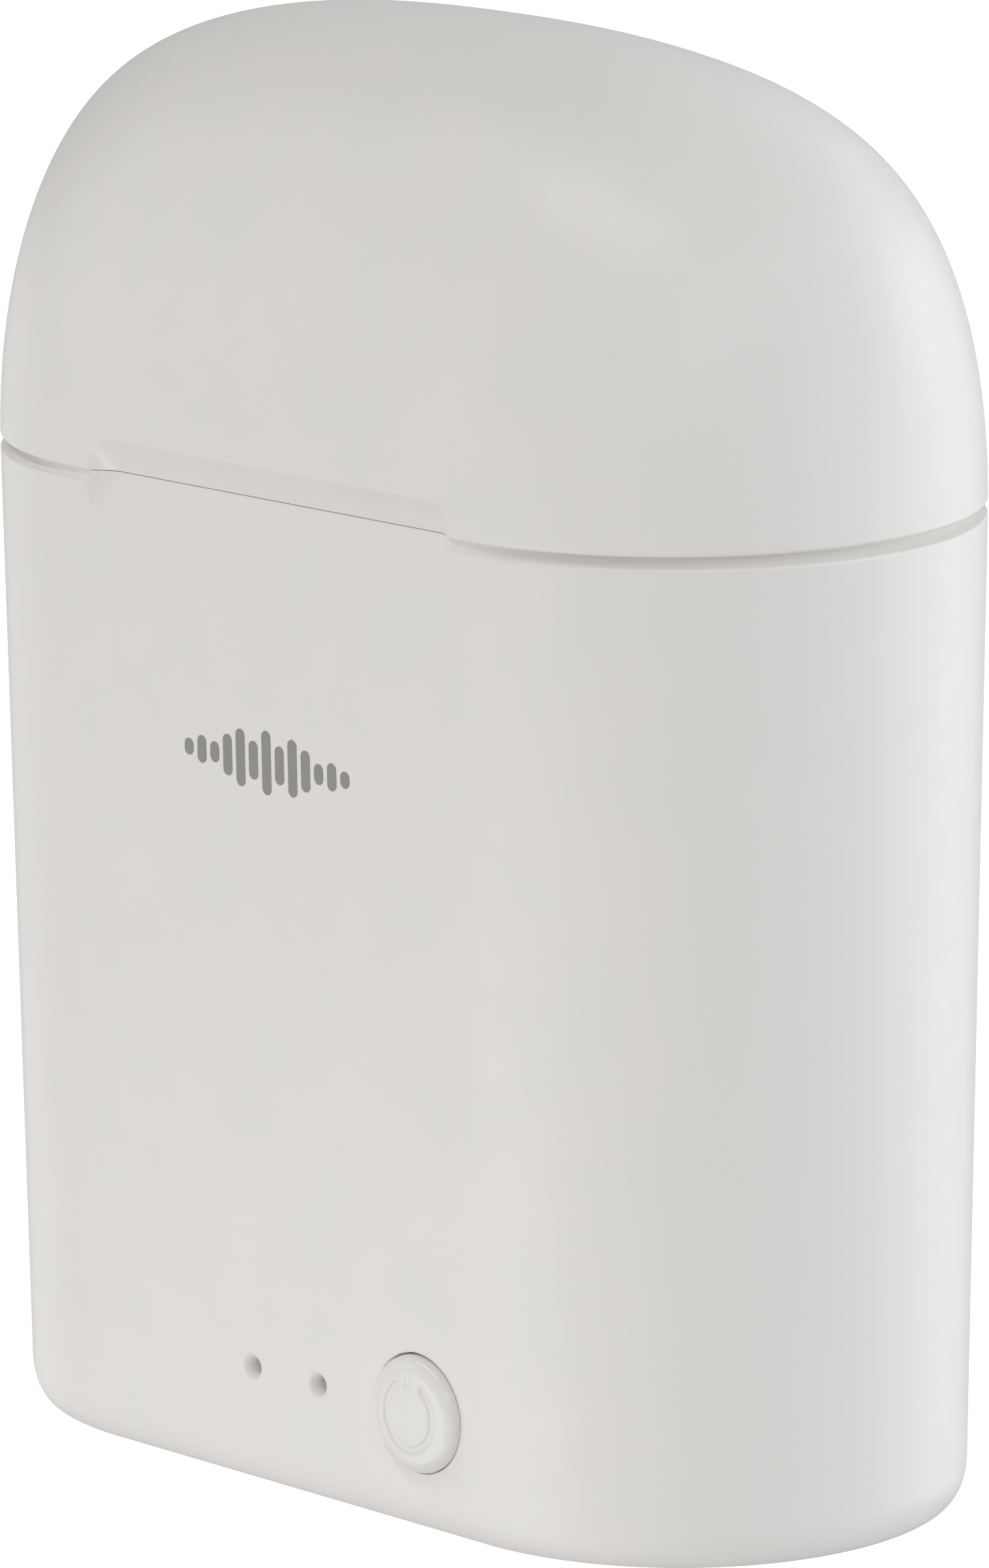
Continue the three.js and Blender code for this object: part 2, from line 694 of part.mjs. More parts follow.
/** A lead from under the battery to the back of the main board. */
function batteryLead(x) {
  const route = new THREE.CatmullRomCurve3([
    new THREE.Vector3(x, 6.8, BATTERY.zLow - 0.1),
    new THREE.Vector3(x, 6.5, 3.2),
    new THREE.Vector3(x, 4.6, 2.6),
    new THREE.Vector3(x, 1.6, 2.8),
    new THREE.Vector3(x, -0.6, 3.5),
    new THREE.Vector3(x, BOARD_BACK_Y + 0.1, 3.6),
  ]);
  const section = circle(0, 0, 0.35, new THREE.Shape());
  return solid(new THREE.ExtrudeGeometry(section, { steps: 14, extrudePath: route, curveSegments: 4 }));
}

function boardRibbon() {
  const front = BOARD_FRONT_Y - 0.05;
  const thickness = 0.15;
  const top = CONTACT_BOARD_Z - 0.05;
  const outline = polygon([
    [front, 7.2],
    [front, top],
    [-5, top],
    [-5, top - thickness],
    [front - thickness, top - thickness],
    [front - thickness, 7.2],
  ]);
  return solid(extrudedX(outline, -4, 3));
}

function boardPart(x, z, depth) {
  return solid(box(x, [BOARD_BACK_Y + 0.05, BOARD_BACK_Y + 0.05 + depth], z));
}

// ---------------------------------------------------------------- spring contacts

/** The four contact places, from the left, two in each stem tube. */
function contactPlaces() {
  const places = [];
  for (const side of [-1, 1]) {
    for (const offset of [-CONTACT_SPACING, CONTACT_SPACING]) {
      places.push({ name: places.length + 1, x: side * STEM_X + offset });
    }
  }
  return places;
}

const BARREL_BOTTOM_Z = CONTACT_BOARD_Z + CONTACT_BOARD_THICKNESS + 0.05;
const BARREL_TOP_Z = STEM_FLOOR_Z - 1.2;
const SPRING_LOW_Z = BARREL_BOTTOM_Z + 0.35;
const SPRING_HIGH_Z = SPRING_LOW_Z + 1.6;

function contactBarrel(x) {
  const profile = [
    [0, BARREL_BOTTOM_Z],
    [0.9, BARREL_BOTTOM_Z],
    [0.9, BARREL_TOP_Z],
    [0.5, BARREL_TOP_Z],
    [0.5, BARREL_TOP_Z - 0.2],
    [0.7, BARREL_TOP_Z - 0.2],
    [0.7, BARREL_BOTTOM_Z + 0.3],
    [0, BARREL_BOTTOM_Z + 0.3],
  ];
  return solid(turnedZ(profile, x, STEM_Y, SMALL_STEPS));
}

function contactPin(x) {
  const low = SPRING_HIGH_Z + 0.05;
  const tip = STEM_FLOOR_Z + 0.9;
  const profile = [
    [0, low],
    [0.6, low],
    [0.6, low + 0.4],
    [0.4, low + 0.4],
    [0.4, tip - 0.25],
    [0.28, tip - 0.07],
    [0, tip],
  ];
  return solid(turnedZ(profile, x, STEM_Y, SMALL_STEPS));
}

function contactSpring(x) {
  const [turns, stepsPerTurn, coilRadius, wireRadius] = [4, 9, 0.45, 0.09];
  const [low, high] = [SPRING_LOW_Z + wireRadius, SPRING_HIGH_Z - wireRadius];
  const points = [];
  for (let i = 0; i <= turns * stepsPerTurn; i += 1) {
    const share = i / (turns * stepsPerTurn);
    const angle = share * turns * Math.PI * 2;
    points.push(new THREE.Vector3(
      x + coilRadius * Math.cos(angle),
      STEM_Y + coilRadius * Math.sin(angle),
      low + (high - low) * share,
    ));
  }
  const section = circle(0, 0, wireRadius, new THREE.Shape());
  const path = new THREE.CatmullRomCurve3(points);
  return solid(new THREE.ExtrudeGeometry(section, { steps: points.length - 1, extrudePath: path, curveSegments: 3 }));
}

// ---------------------------------------------------------------- magnets

function barMagnet(low, high) {
  return solid(box([-1.2, 1.2], [-8.4, -4.6], [low, high]));
}

function wellMagnet(x) {
  return solid(turnedZ(rod(1.8, BATTERY.zHigh + 0.6, BATTERY.zHigh + 1.8), x, 4.8));
}

// ---------------------------------------------------------------- assembly

const casing = new THREE.Group();
casing.name = 'earbuds_case';
const lid = new THREE.Group();
lid.name = 'lid';
casing.add(lid);

function addPiece(group, name, body, look) {
  const mesh = new THREE.Mesh(toGeometry(body), new THREE.MeshStandardMaterial(look));
  mesh.name = name;
  group.add(mesh);
}

addPiece(casing, 'base_shell', baseShell(), WHITE_ABS);
addPiece(casing, 'cradle_tray', cradleTray(), WHITE_INNER);
addPiece(lid, 'lid_shell', lidShell(), WHITE_ABS);
addPiece(lid, 'lid_liner', lidLiner(), WHITE_INNER);

addPiece(casing, 'hinge_bracket_base', baseBracket(), WHITE_ABS);
addPiece(lid, 'hinge_bracket_lid', lidBracket(), WHITE_ABS);
addPiece(casing, 'hinge_pin', hingePin(), STEEL);

addPiece(casing, 'power_key', powerKey(), WHITE_GLOSS);
addPiece(casing, 'switch_body', switchBody(), CHIP_BLACK);
addPiece(casing, 'switch_plunger', switchPlunger(), CHIP_BLACK);

addPiece(casing, 'main_board', mainBoard(), BOARD_GREEN);
addPiece(casing, 'controller_chip', boardPart([6.2, 10.2], [4.2, 8.2], 0.9), CHIP_BLACK);
addPiece(casing, 'power_inductor', boardPart([-9.6, -5.6], [4.6, 8.2], 1.9), CHIP_BLACK);
addPiece(casing, 'contact_board', contactBoard(), BOARD_GREEN);
addPiece(casing, 'board_ribbon', boardRibbon(), AMBER_FILM);
addPiece(casing, 'charge_port_shell', portShell(), NICKEL);
addPiece(casing, 'charge_port_tongue', portTongue(), CHIP_BLACK);
addPiece(casing, 'battery_pouch', battery(), FOIL);
addPiece(casing, 'battery_tape', batteryTape(), TAPE_BLACK);
addPiece(casing, 'battery_lead_red', batteryLead(-6.6), RED_PVC);
addPiece(casing, 'battery_lead_black', batteryLead(-8.4), BLACK_PVC);

for (const [name, side] of [['left', -1], ['right', 1]]) {
  addPiece(casing, `light_pipe_${name}`, lightPipe(side * LED_X), FROSTED);
  addPiece(casing, `light_chip_${name}`, lightChip(side * LED_X), WHITE_GLOSS);
  addPiece(casing, `board_screw_${name}`, boardScrew(side * BOARD_SCREW_X), STEEL);
  addPiece(casing, `well_magnet_${name}`, wellMagnet(side * WELL_X), NICKEL);
}

for (const { name, x } of contactPlaces()) {
  addPiece(casing, `contact_barrel_${name}`, contactBarrel(x), GOLD);
  addPiece(casing, `contact_spring_${name}`, contactSpring(x), STEEL);
  addPiece(casing, `contact_pin_${name}`, contactPin(x), GOLD);
}

addPiece(casing, 'closing_magnet_base', barMagnet(35.7, 38.0), NICKEL);
addPiece(lid, 'closing_magnet_lid', barMagnet(SEAM_Z + 1.7, SEAM_Z + 4), NICKEL);

export default casing;
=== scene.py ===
"""Charging case for wireless earbuds, closed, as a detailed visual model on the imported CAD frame.

Pieces are built in millimetres, in the frame of the CAD (origin at the centre of the bottom face,
+Z up, front towards -Y), and are scaled to metres when they are finished.
"""
import math

import bmesh
import bpy
import numpy as np
from mathutils import Matrix, Vector


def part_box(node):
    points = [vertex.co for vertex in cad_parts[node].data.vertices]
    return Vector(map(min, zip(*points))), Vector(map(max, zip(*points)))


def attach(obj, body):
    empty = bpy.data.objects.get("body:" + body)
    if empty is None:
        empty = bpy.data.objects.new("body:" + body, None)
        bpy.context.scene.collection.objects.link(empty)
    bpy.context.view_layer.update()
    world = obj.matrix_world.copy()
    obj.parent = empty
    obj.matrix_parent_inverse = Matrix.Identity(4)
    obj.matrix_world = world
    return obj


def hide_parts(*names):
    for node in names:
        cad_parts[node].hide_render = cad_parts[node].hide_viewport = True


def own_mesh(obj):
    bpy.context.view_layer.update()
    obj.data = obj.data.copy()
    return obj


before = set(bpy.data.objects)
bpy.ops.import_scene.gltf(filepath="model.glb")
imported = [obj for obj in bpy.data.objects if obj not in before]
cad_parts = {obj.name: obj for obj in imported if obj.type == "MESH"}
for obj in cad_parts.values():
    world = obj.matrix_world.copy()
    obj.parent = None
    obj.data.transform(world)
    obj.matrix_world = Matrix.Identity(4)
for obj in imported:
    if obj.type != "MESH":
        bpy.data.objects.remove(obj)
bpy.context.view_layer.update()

scene = bpy.context.scene
MM = 0.001

# ---------------------------------------------------------------- dimensions of the case, in millimetres

# Outline, seam and walls.
WIDTH = 46.0
DEPTH = 24.2
HEIGHT = 58.55
SEAM_Z = 40.15
PARTING_Z = 40.39
PARTING_GAP = 0.03
LIP_INSET = 1.2
DRAFT = math.tan(math.radians(1.0))
END_RADIUS = DEPTH / 2
FLAT_HALF = WIDTH / 2 - END_RADIUS
BOTTOM_EDGE_RISE = 1.6
BOTTOM_EDGE_INSET = 0.75
# How far the base's rim steps back, and how far below the parting line.
BASE_RIM = (
    (0.5, 0.0), (0.48, 0.1), (0.43, 0.2), (0.34, 0.29),
    (0.22, 0.36), (0.11, 0.41), (0.04, 0.45), (0.0, 0.52),
)
BASE_RIM_SHARE_AT_NOTCH = 0.5
LID_RIM_RADIUS = 0.17
BASE_WALL = 1.8
LID_WALL = 1.7
INNER_RIM_CHAMFER = 0.15
FLOOR_CORNER = 1.4

# Dome of the lid: rings of equal height share up to CAP_SHARE, and rings about the pole above it.
DOME_RISE = HEIGHT - SEAM_Z
DOME_X_POWER, DOME_X_ROOT = 2.34, 4.84
DOME_Y_POWER, DOME_Y_ROOT = 1.82, 2.15
RIDGE_SOFTNESS = 0.08
CAP_SHARE = 0.7

# Thumb notch across the seam.
NOTCH_HALF_WIDTH = 10.4
NOTCH_LOW, NOTCH_HIGH = 38.47, 41.95
NOTCH_DEPTH = 0.75
NOTCH_CORNER = 1.35
NOTCH_WALL_SLOPE = 0.8
NOTCH_SOFTNESS = 0.07

# Hinge at the back: knuckles, pin, the groove that lets the lid swing, and two bonded brackets.
HINGE_Y = END_RADIUS - 1.2
KNUCKLE_RADIUS = 1.15
KNUCKLE_ROOM = 0.3
KNUCKLES_HALF = 9.0
CENTRE_KNUCKLE_HALF = 2.9
KNUCKLE_SIDE_GAP = 0.2
PIN_RADIUS = 0.5
PIN_BORE_RADIUS = 0.55
GROOVE_HALF_LENGTH = 16.4
GROOVE_SLOPE = math.tan(math.radians(48.5))
GROOVE_APEX_GAP = 0.15
GROOVE_REACH = 4.0
BASE_BRACKET_Y = (9.0, 9.9)
LID_BRACKET_Y = (8.9, 9.7)
LID_BRACKET_HALF = 6.0
BRACKET_SIDE_GAP = 0.25
BRACKET_LEAF_GAP = 0.4
BRACKET_BOTTOM_Z = 31
BRACKET_POCKET_DROP = 12

# Power key and status lights in the lower front.
CONTROL_Z = 4.88
CONTROLS_TOP = 9.0
KEY_X = 7.68
KEY_HOLE_RADIUS = 2.46
KEY_HOLE_SIDE_RADIUS = 2.405
KEY_MOUTH_FILLET = 0.03
KEY_MOUTH_DEPTH = 0.22
KEY_RADIUS = 2.39
KEY_PROUD = 0.56
KEY_EDGE_WIDTH = 0.74
KEY_FLANGE_RADIUS = 3.0
KEY_FLANGE_THICKNESS = 0.6
KEY_FLANGE_BACK_Y = -9.0
KEY_POST_RADIUS = 1.0
KEY_THROAT_Y = (-13, -8)
FLANGE_ROOM_RADIUS = KEY_FLANGE_RADIUS + 0.06
FLANGE_ROOM_Y = (-9.65, -8.3)
KEY_POST_END_Y = -6.95
LED_X = 1.9
LED_HOLE_RADIUS = 0.585
LED_HORN_WIDTH, LED_HORN_DEPTH = 0.28, 0.72
PIPE_RADIUS = 0.46
PIPE_RECESS = 0.87
PIPE_FACE_EDGE = 0.12
PIPE_COLLAR_RADIUS = 0.95
PIPE_COLLAR_Y = (-9.4, -8.8)
PIPE_END_Y = -3.7
PIPE_BORE_RADIUS = PIPE_RADIUS + 0.04

# Cradle tray, lid liner, contacts and board screws.
DECK_TOP_Z = SEAM_Z - 0.7
DECK_THICKNESS = 1.2
TRAY_GAP = 0.3
LINER_GAP = 0.35
WELL_X, WELL_Y = 10.8, -0.5
WELL_RADII = (8.6, 8.0, 8.2)
POCKET_RADII = (8.6, 8.0, 12.2)
WELL_WALL = 1.0
STEM_X, STEM_Y = 11.2, -3.5
STEM_RADIUS = 3.8
STEM_WALL = 0.9
STEM_FLOOR_Z = 14.0
STEM_TUBE_TOP_Z = 34.0
TRAY_SKIRT_BOTTOM_Z = 35.5
CONTACT_SPACING = 1.5
CONTACT_HOLE_RADIUS = 0.6
SPRING_COIL_RADIUS = 0.45
SPRING_WIRE_RADIUS = 0.09
SPRING_TURNS = 4
SCREW_X = 12.2
SCREW_BOSS_RADIUS = 1.3
SCREW_PILOT_RADIUS = 0.5
SCREW_PILOT_Y = (-9, -2)
BOARD_FRONT_Y = -2.75

# Charging port in the floor.
PORT_HALF_WIDTH = 4.47
PORT_HALF_DEPTH = 1.6
PORT_LOW, PORT_HIGH = 0.35, 7.0
PORT_WALL = 0.3
PORT_LIP = 0.12
PORT_ROOM = 0.2
PORT_MOUTH_FILLET = 0.25

# Print on the front.
PRINT_X, PRINT_Z = -0.17, 29.98
PRINT_BAR_HALF_WIDTH = 0.26
PRINT_PITCH = 0.748
PRINT_HALF_HEIGHTS = (0.34, 0.56, 0.42, 0.84, 1.16, 0.78, 1.3, 0.78, 1.16, 0.84, 0.42, 0.56, 0.34)
PRINT_PROUD, PRINT_SUNK = 0.012, 0.006

# Corner radius of a pill shape, as a share of its half width.
PILL_CORNER = 0.98

# How far cutters reach: past the whole case, in front of a face, and just off a face.
FAR = 40
CUTTER_START = 1.5
SKIN = 0.004


def front_y(z):
    """Where the drafted front wall stands at a height."""
    return -(END_RADIUS - (SEAM_Z - z) * DRAFT)


# ---------------------------------------------------------------- mesh helpers


def new_object(name, points, faces):
    """A mesh object in the scene."""
    mesh = bpy.data.meshes.new(name)
    mesh.from_pydata(np.asarray(points, dtype=float).tolist(), [], faces)
    obj = bpy.data.objects.new(name, mesh)
    scene.collection.objects.link(obj)
    return obj


def outward(obj):
    """Turns the faces of a closed mesh outwards."""
    work = bmesh.new()
    work.from_mesh(obj.data)
    if work.calc_volume(signed=True) < 0:
        bmesh.ops.reverse_faces(work, faces=work.faces)
    work.to_mesh(obj.data)
    work.free()
    return obj


def sock(name, rings):
    """A closed body through rings of equal point counts, with a flat face on its first and last ring."""
    rings = [np.asarray(ring, dtype=float) for ring in rings]
    count = len(rings[0])
    faces = []
    for row in range(len(rings) - 1):
        low, high = row * count, (row + 1) * count
        for i in range(count):
            j = (i + 1) % count
            faces.append((low + i, low + j, high + j, high + i))
    faces.append(tuple(range(count - 1, -1, -1)))
    faces.append(tuple((len(rings) - 1) * count + i for i in range(count)))
    return outward(new_object(name, np.concatenate(rings), faces))


def turned(name, profile, axis, centre, steps=96):
    """A closed profile of (radius, height) points, from axis to axis, turned about a line along axis."""
    angles = np.arange(steps) * 2 * math.pi / steps
    rings = []
    for radius, height in profile:
        ring = np.zeros((steps, 3))
        u, v = [k for k in range(3) if k != axis]
        ring[:, u] = centre[u] + max(radius, 1e-3) * np.cos(angles)
        ring[:, v] = centre[v] + max(radius, 1e-3) * np.sin(angles)
        ring[:, axis] = height
        rings.append(ring)
    return sock(name, rings)


def rounded_rectangle(half_u, half_v, corner, steps):
    """The outline of a rectangle with round corners, as (u, v) points about its middle."""
    points = []
    for quarter, (su, sv) in enumerate([(1, 1), (-1, 1), (-1, -1), (1, -1)]):
        for i in range(steps + 1):
            a = math.pi / 2 * (quarter + i / steps)
            points.append((
                su * (half_u - corner) + corner * math.cos(a),
                sv * (half_v - corner) + corner * math.sin(a),
            ))
    return np.array(points)


def level_ring(flat, z):
    """A flat outline of (x, y) points placed at a height."""
    return np.column_stack([flat, np.full(len(flat), z)])


def round_over(edge, steps):
    """(rise, inset) along a rounded edge, from its end face to its side."""
    angles = np.linspace(0, math.pi / 2, steps + 1)
    return [(edge * (1 - math.cos(a)), edge * (1 - math.sin(a))) for a in angles]


def slab(name, half_x, half_y, corner, low, high, edge):
    """An upright bar of rounded rectangular section, with rounded edges at both ends."""
    spots = [(low + rise, inset) for rise, inset in round_over(edge, 4)]
    spots += [(high - rise, inset) for rise, inset in reversed(round_over(edge, 4))]
    rings = []
    for z, inset in spots:
        flat = rounded_rectangle(half_x - inset, half_y - inset, max(corner - inset, 0.02), 8)
        rings.append(level_ring(flat, z))
    return sock(name, rings)


def prism_x(name, outline, half_length):
    """An outline of (y, z) points extruded along X, both ways from the middle."""
    rings = []
    for x in (-half_length, half_length):
        rings.append(np.array([(x, y, z) for y, z in outline]))
    return sock(name, rings)


def boolean(obj, operation, *tools):
    """Applies exact solid operations with tools, and removes the tools."""
    for tool in tools:
        step = obj.modifiers.new("solid", "BOOLEAN")
        step.operation = operation
        step.solver = "MANIFOLD"
        step.object = tool
        depsgraph = bpy.context.evaluated_depsgraph_get()
        mesh = bpy.data.meshes.new_from_object(obj.evaluated_get(depsgraph))
        obj.modifiers.clear()
        old = obj.data
        obj.data = mesh
        mesh.name = obj.name
        bpy.data.meshes.remove(old)
        tool_mesh = tool.data
        bpy.data.objects.remove(tool)
        bpy.data.meshes.remove(tool_mesh)
    return obj


def cut(obj, *tools):
    """Takes the tools out of a piece."""
    return boolean(obj, "DIFFERENCE", *tools)


def join(obj, *tools):
    """Adds the tools to a piece."""
    return boolean(obj, "UNION", *tools)


def finished(obj, body, material, replaces=(), crease=38.0):
    """Scales a piece to metres, shades it, gives it its material and says what it rides on."""
    work = bmesh.new()
    work.from_mesh(obj.data)
    bmesh.ops.remove_doubles(work, verts=work.verts, dist=1e-4)
    bmesh.ops.dissolve_degenerate(work, edges=work.edges, dist=1e-5)
    bmesh.ops.scale(work, vec=(MM, MM, MM), verts=work.verts)
    work.to_mesh(obj.data)
    work.free()
    obj.data.shade_smooth()
    obj.data.set_sharp_from_angle(angle=math.radians(crease))
    even = obj.modifiers.new("even_normals", "WEIGHTED_NORMAL")
    even.mode = "FACE_AREA"
    even.weight = 100
    even.keep_sharp = True
    obj.data.materials.clear()
    obj.data.materials.append(material)
    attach(obj, body)
    if replaces:
        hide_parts(*replaces)
    return obj


# ---------------------------------------------------------------- materials


def srgb(*levels):
    """Linear colour from screen levels of 0 to 255."""
    linear = []
    for level in levels:
        c = level / 255
        linear.append(c / 12.92 if c <= 0.04045 else ((c + 0.055) / 1.055) ** 2.4)
    return (*linear, 1.0)


class Look:
    """A material under construction: a principled shader with named node helpers."""

    def __init__(self, name, color, roughness, metallic=0.0, **settings):
        self.material = bpy.data.materials.new(name)
        self.material.use_nodes = True
        self.tree = self.material.node_tree
        self.shader = self.tree.nodes["Principled BSDF"]
        self.shader.inputs["Base Color"].default_value = color
        self.shader.inputs["Roughness"].default_value = roughness
        self.shader.inputs["Metallic"].default_value = metallic
        for key, value in settings.items():
            self.shader.inputs[key.replace("_", " ")].default_value = value
        self.color = color
        self.roughness = roughness
        self.place = self.node("ShaderNodeTexCoord").outputs["Object"]

    def node(self, kind, **settings):
        made = self.tree.nodes.new(kind)
        for key, value in settings.items():
            setattr(made, key, value)
        return made

    def link(self, source, target):
        self.tree.links.new(source, target)

    def noise(self, scale, detail=2.0, stretch=None):
        """Noise with features about 1/scale metres across."""
        made = self.node("ShaderNodeTexNoise")
        made.inputs["Scale"].default_value = scale
        made.inputs["Detail"].default_value = detail
        place = self.place
        if stretch:
            mapping = self.node("ShaderNodeMapping")
            mapping.inputs["Scale"].default_value = stretch
            self.link(place, mapping.inputs["Vector"])
            place = mapping.outputs["Vector"]
        self.link(place, made.inputs["Vector"])
        return made.outputs["Fac"]

    def spread(self, value, low, high):
        """Maps noise round its middle to a range."""
        made = self.node("ShaderNodeMapRange")
        made.inputs["From Min"].default_value = 0.3
        made.inputs["From Max"].default_value = 0.7
        made.inputs["To Min"].default_value = low
        made.inputs["To Max"].default_value = high
        self.link(value, made.inputs["Value"])
        return made.outputs["Result"]

    def vary_color(self, value, other):
        """Blends the base colour with another one by a value."""
        made = self.node("ShaderNodeMix", data_type="RGBA")
        made.inputs["A"].default_value = self.color
        made.inputs["B"].default_value = other
        self.link(value, made.inputs["Factor"])
        self.link(made.outputs["Result"], self.shader.inputs["Base Color"])
        return self

    def vary_roughness(self, value, low, high):
        self.link(self.spread(value, low, high), self.shader.inputs["Roughness"])
        return self

    def bump(self, value, height):
        """Bump of a height in metres."""
        made = self.node("ShaderNodeBump")
        made.inputs["Strength"].default_value = 1.0
        made.inputs["Distance"].default_value = height
        self.link(value, made.inputs["Height"])
        self.link(made.outputs["Normal"], self.shader.inputs["Normal"])
        return self


def moulded(name, color, other, roughness, grain=9000.0, relief=2.5e-6, **settings):
    """Injection-moulded plastic: fine spark texture, faint tint drift, slightly uneven gloss."""
    look = Look(name, color, roughness, **settings)
    look.vary_color(look.spread(look.noise(260.0, 3.0), 0.0, 1.0), other)
    look.vary_roughness(look.noise(1400.0, 3.0), roughness - 0.05, roughness + 0.05)
    look.bump(look.noise(grain, 2.0), relief)
    return look.material


def brushed(name, color, roughness, stretch=(1.0, 1.0, 0.03), grain=16000.0):
    """Drawn or plated metal with fine lines along one axis."""
    look = Look(name, color, roughness, metallic=1.0)
    lines = look.noise(grain, 2.0, stretch)
    dark = tuple(0.82 * c for c in color[:3]) + (1.0,)
    look.vary_color(look.spread(lines, 0.0, 1.0), dark)
    look.vary_roughness(lines, roughness - 0.06, roughness + 0.1)
    look.bump(lines, 1.5e-6)
    return look.material


WHITE_SHELL = moulded("white_shell", srgb(234, 231, 228), srgb(232, 230, 227), 0.36)
WHITE_INNER = moulded("white_inner", srgb(228, 226, 223), srgb(224, 222, 219), 0.46)
KEY_GLOSS = moulded("key_gloss", srgb(234, 232, 230), srgb(232, 230, 227), 0.17, relief=1.0e-6)
LIGHT_GUIDE = moulded(
    "light_guide", srgb(226, 228, 226), srgb(218, 221, 219), 0.32, Transmission_Weight=0.15,
)
STEEL = brushed("pin_steel", srgb(196, 198, 202), 0.3, (0.03, 1.0, 1.0))
GOLD = brushed("contact_gold", srgb(222, 184, 98), 0.22)
PORT_METAL = brushed("port_metal", srgb(204, 203, 200), 0.26)
NICKEL = brushed("magnet_nickel", srgb(206, 204, 198), 0.24)
BLACK = moulded("black_moulding", srgb(30, 31, 33), srgb(38, 39, 41), 0.5, grain=6000.0, relief=4e-6)
FERRITE = moulded("ferrite", srgb(52, 51, 50), srgb(70, 68, 66), 0.72, grain=4000.0, relief=8e-6)
CHIP_RESIN = moulded("chip_resin", srgb(236, 232, 205), srgb(226, 220, 180), 0.3)
BOARD = moulded("board_green", srgb(28, 92, 60), srgb(20, 74, 48), 0.4, grain=2500.0, relief=6e-6)
RIBBON = moulded("ribbon_film", srgb(186, 120, 48), srgb(166, 100, 36), 0.35)
FOIL = brushed("pouch_foil", srgb(188, 190, 193), 0.38, (1.0, 1.0, 0.15), 4000.0)
TAPE = moulded("tape", srgb(36, 36, 38), srgb(48, 48, 50), 0.8, grain=5000.0, relief=6e-6)
LEAD_RED = moulded("lead_red", srgb(182, 36, 30), srgb(160, 28, 24), 0.45)
LEAD_BLACK = moulded("lead_black", srgb(28, 28, 30), srgb(40, 40, 42), 0.45)
INK = moulded("print_grey", srgb(150, 148, 146), srgb(145, 143, 141), 0.5)

# ---------------------------------------------------------------- outer shape


def axis_columns():
    """Columns round the stadium: the point each turns about on X, and its outward direction.

    They lie closest together at the ends of the thumb notch.
    """
    edges = [0.0, NOTCH_HALF_WIDTH - 1.9, NOTCH_HALF_WIDTH + 0.25, FLAT_HALF]
    spacing = [0.3, 0.07, 0.12]
    half = [0.0]
    for (start, end), step in zip(zip(edges, edges[1:]), spacing):
        half += list(np.linspace(start, end, max(2, round((end - start) / step) + 1))[1:])
    front = np.array([-x for x in reversed(half[1:])] + half)
    back = np.linspace(FLAT_HALF, -FLAT_HALF, 61)
    turn = np.linspace(-math.pi / 2, math.pi / 2, 129)[1:-1]
    middles = np.concatenate([
        front, np.full(len(turn), FLAT_HALF), back, np.full(len(turn), -FLAT_HALF),
    ])
    out_x = np.concatenate([np.zeros(len(front)), np.cos(turn), np.zeros(len(back)), -np.cos(turn)])
    out_y = np.concatenate([-np.ones(len(front)), np.sin(turn), np.ones(len(back)), -np.sin(turn)])
    return middles, out_x, out_y


MIDDLE, OUT_X, OUT_Y = axis_columns()


def stadium(inset, z):
    """One ring of the stadium; inset may differ from column to column."""
    radius = END_RADIUS - inset
    ring = np.zeros((len(MIDDLE), 3))
    ring[:, 0] = MIDDLE + radius * OUT_X
    ring[:, 1] = radius * OUT_Y
    ring[:, 2] = z
    return ring


def draft_inset(z):
    """How far the drafted wall stands inside the seam's outline at a height."""
    return (SEAM_Z - z) * DRAFT


def softer(share, power, softness):
    """share ** power with its crease at zero rounded off."""
    low = softness ** power
    high = (1 + softness ** 2) ** (power / 2)
    return ((share ** 2 + softness ** 2) ** (power / 2) - low) / (high - low)


def dome_share(x, y, inset):
    """The dome's height share at (x, y), for the dome moved inwards by inset."""
    half = WIDTH / 2 - inset
    radius = END_RADIUS - inset
    beyond = np.maximum(np.abs(x) - FLAT_HALF, 0)
    reach = np.sqrt(np.maximum(radius ** 2 - beyond ** 2, 1e-12))
    across = np.minimum(np.abs(y) / reach, 1)
    along = np.minimum(np.abs(x) / half, 1)
    lengthwise = (1 - along ** DOME_X_POWER) ** (1 / DOME_X_ROOT)
    crosswise = np.maximum(1 - softer(across, DOME_Y_POWER, RIDGE_SOFTNESS), 0) ** (1 / DOME_Y_ROOT)
    return lengthwise * crosswise


def dome_reach(share, inset):
    """How far out along each column's ray the dome has a height share."""
    edge = stadium(inset, 0)
    low, high = np.zeros(len(edge)), np.ones(len(edge))
    for _ in range(44):
        middle = (low + high) / 2
        inside = dome_share(edge[:, 0] * middle, edge[:, 1] * middle, inset) > share
        low = np.where(inside, middle, low)
        high = np.where(inside, high, middle)
    return low


def dome_ring(share, inset):
    """The dome's level ring at a height share."""
    edge = stadium(inset, 0)
    ring = edge * dome_reach(share, inset)[:, None]
    ring[:, 2] = SEAM_Z + share * (DOME_RISE - inset)
    return ring


def dome_cap(share, inset, rows):
    """Rings from a height share up to the pole, evenly spaced along the rays."""
    last = 0.012
    edge = stadium(inset, 0)
    reach = dome_reach(share, inset)
    rings = []
    for row in range(1, rows + 1):
        scale = reach * (1 - (1 - last) * row / rows)
        ring = edge * scale[:, None]
        ring[:, 2] = SEAM_Z + dome_share(ring[:, 0], ring[:, 1], inset) * (DOME_RISE - inset)
        rings.append(ring)
    rings[-1][:, 2] = rings[-1][:, 2].mean()
    return rings


def soft_min(a, b, softness):
    """The lesser of two values, blended where they are closer than softness."""
    blend = np.clip(0.5 + 0.5 * (b - a) / softness, 0, 1)
    return b * (1 - blend) + a * blend - softness * blend * (1 - blend)


def soft_max(a, b, softness):
    """The greater of two values, blended in the same way."""
    return -soft_min(-a, -b, softness)


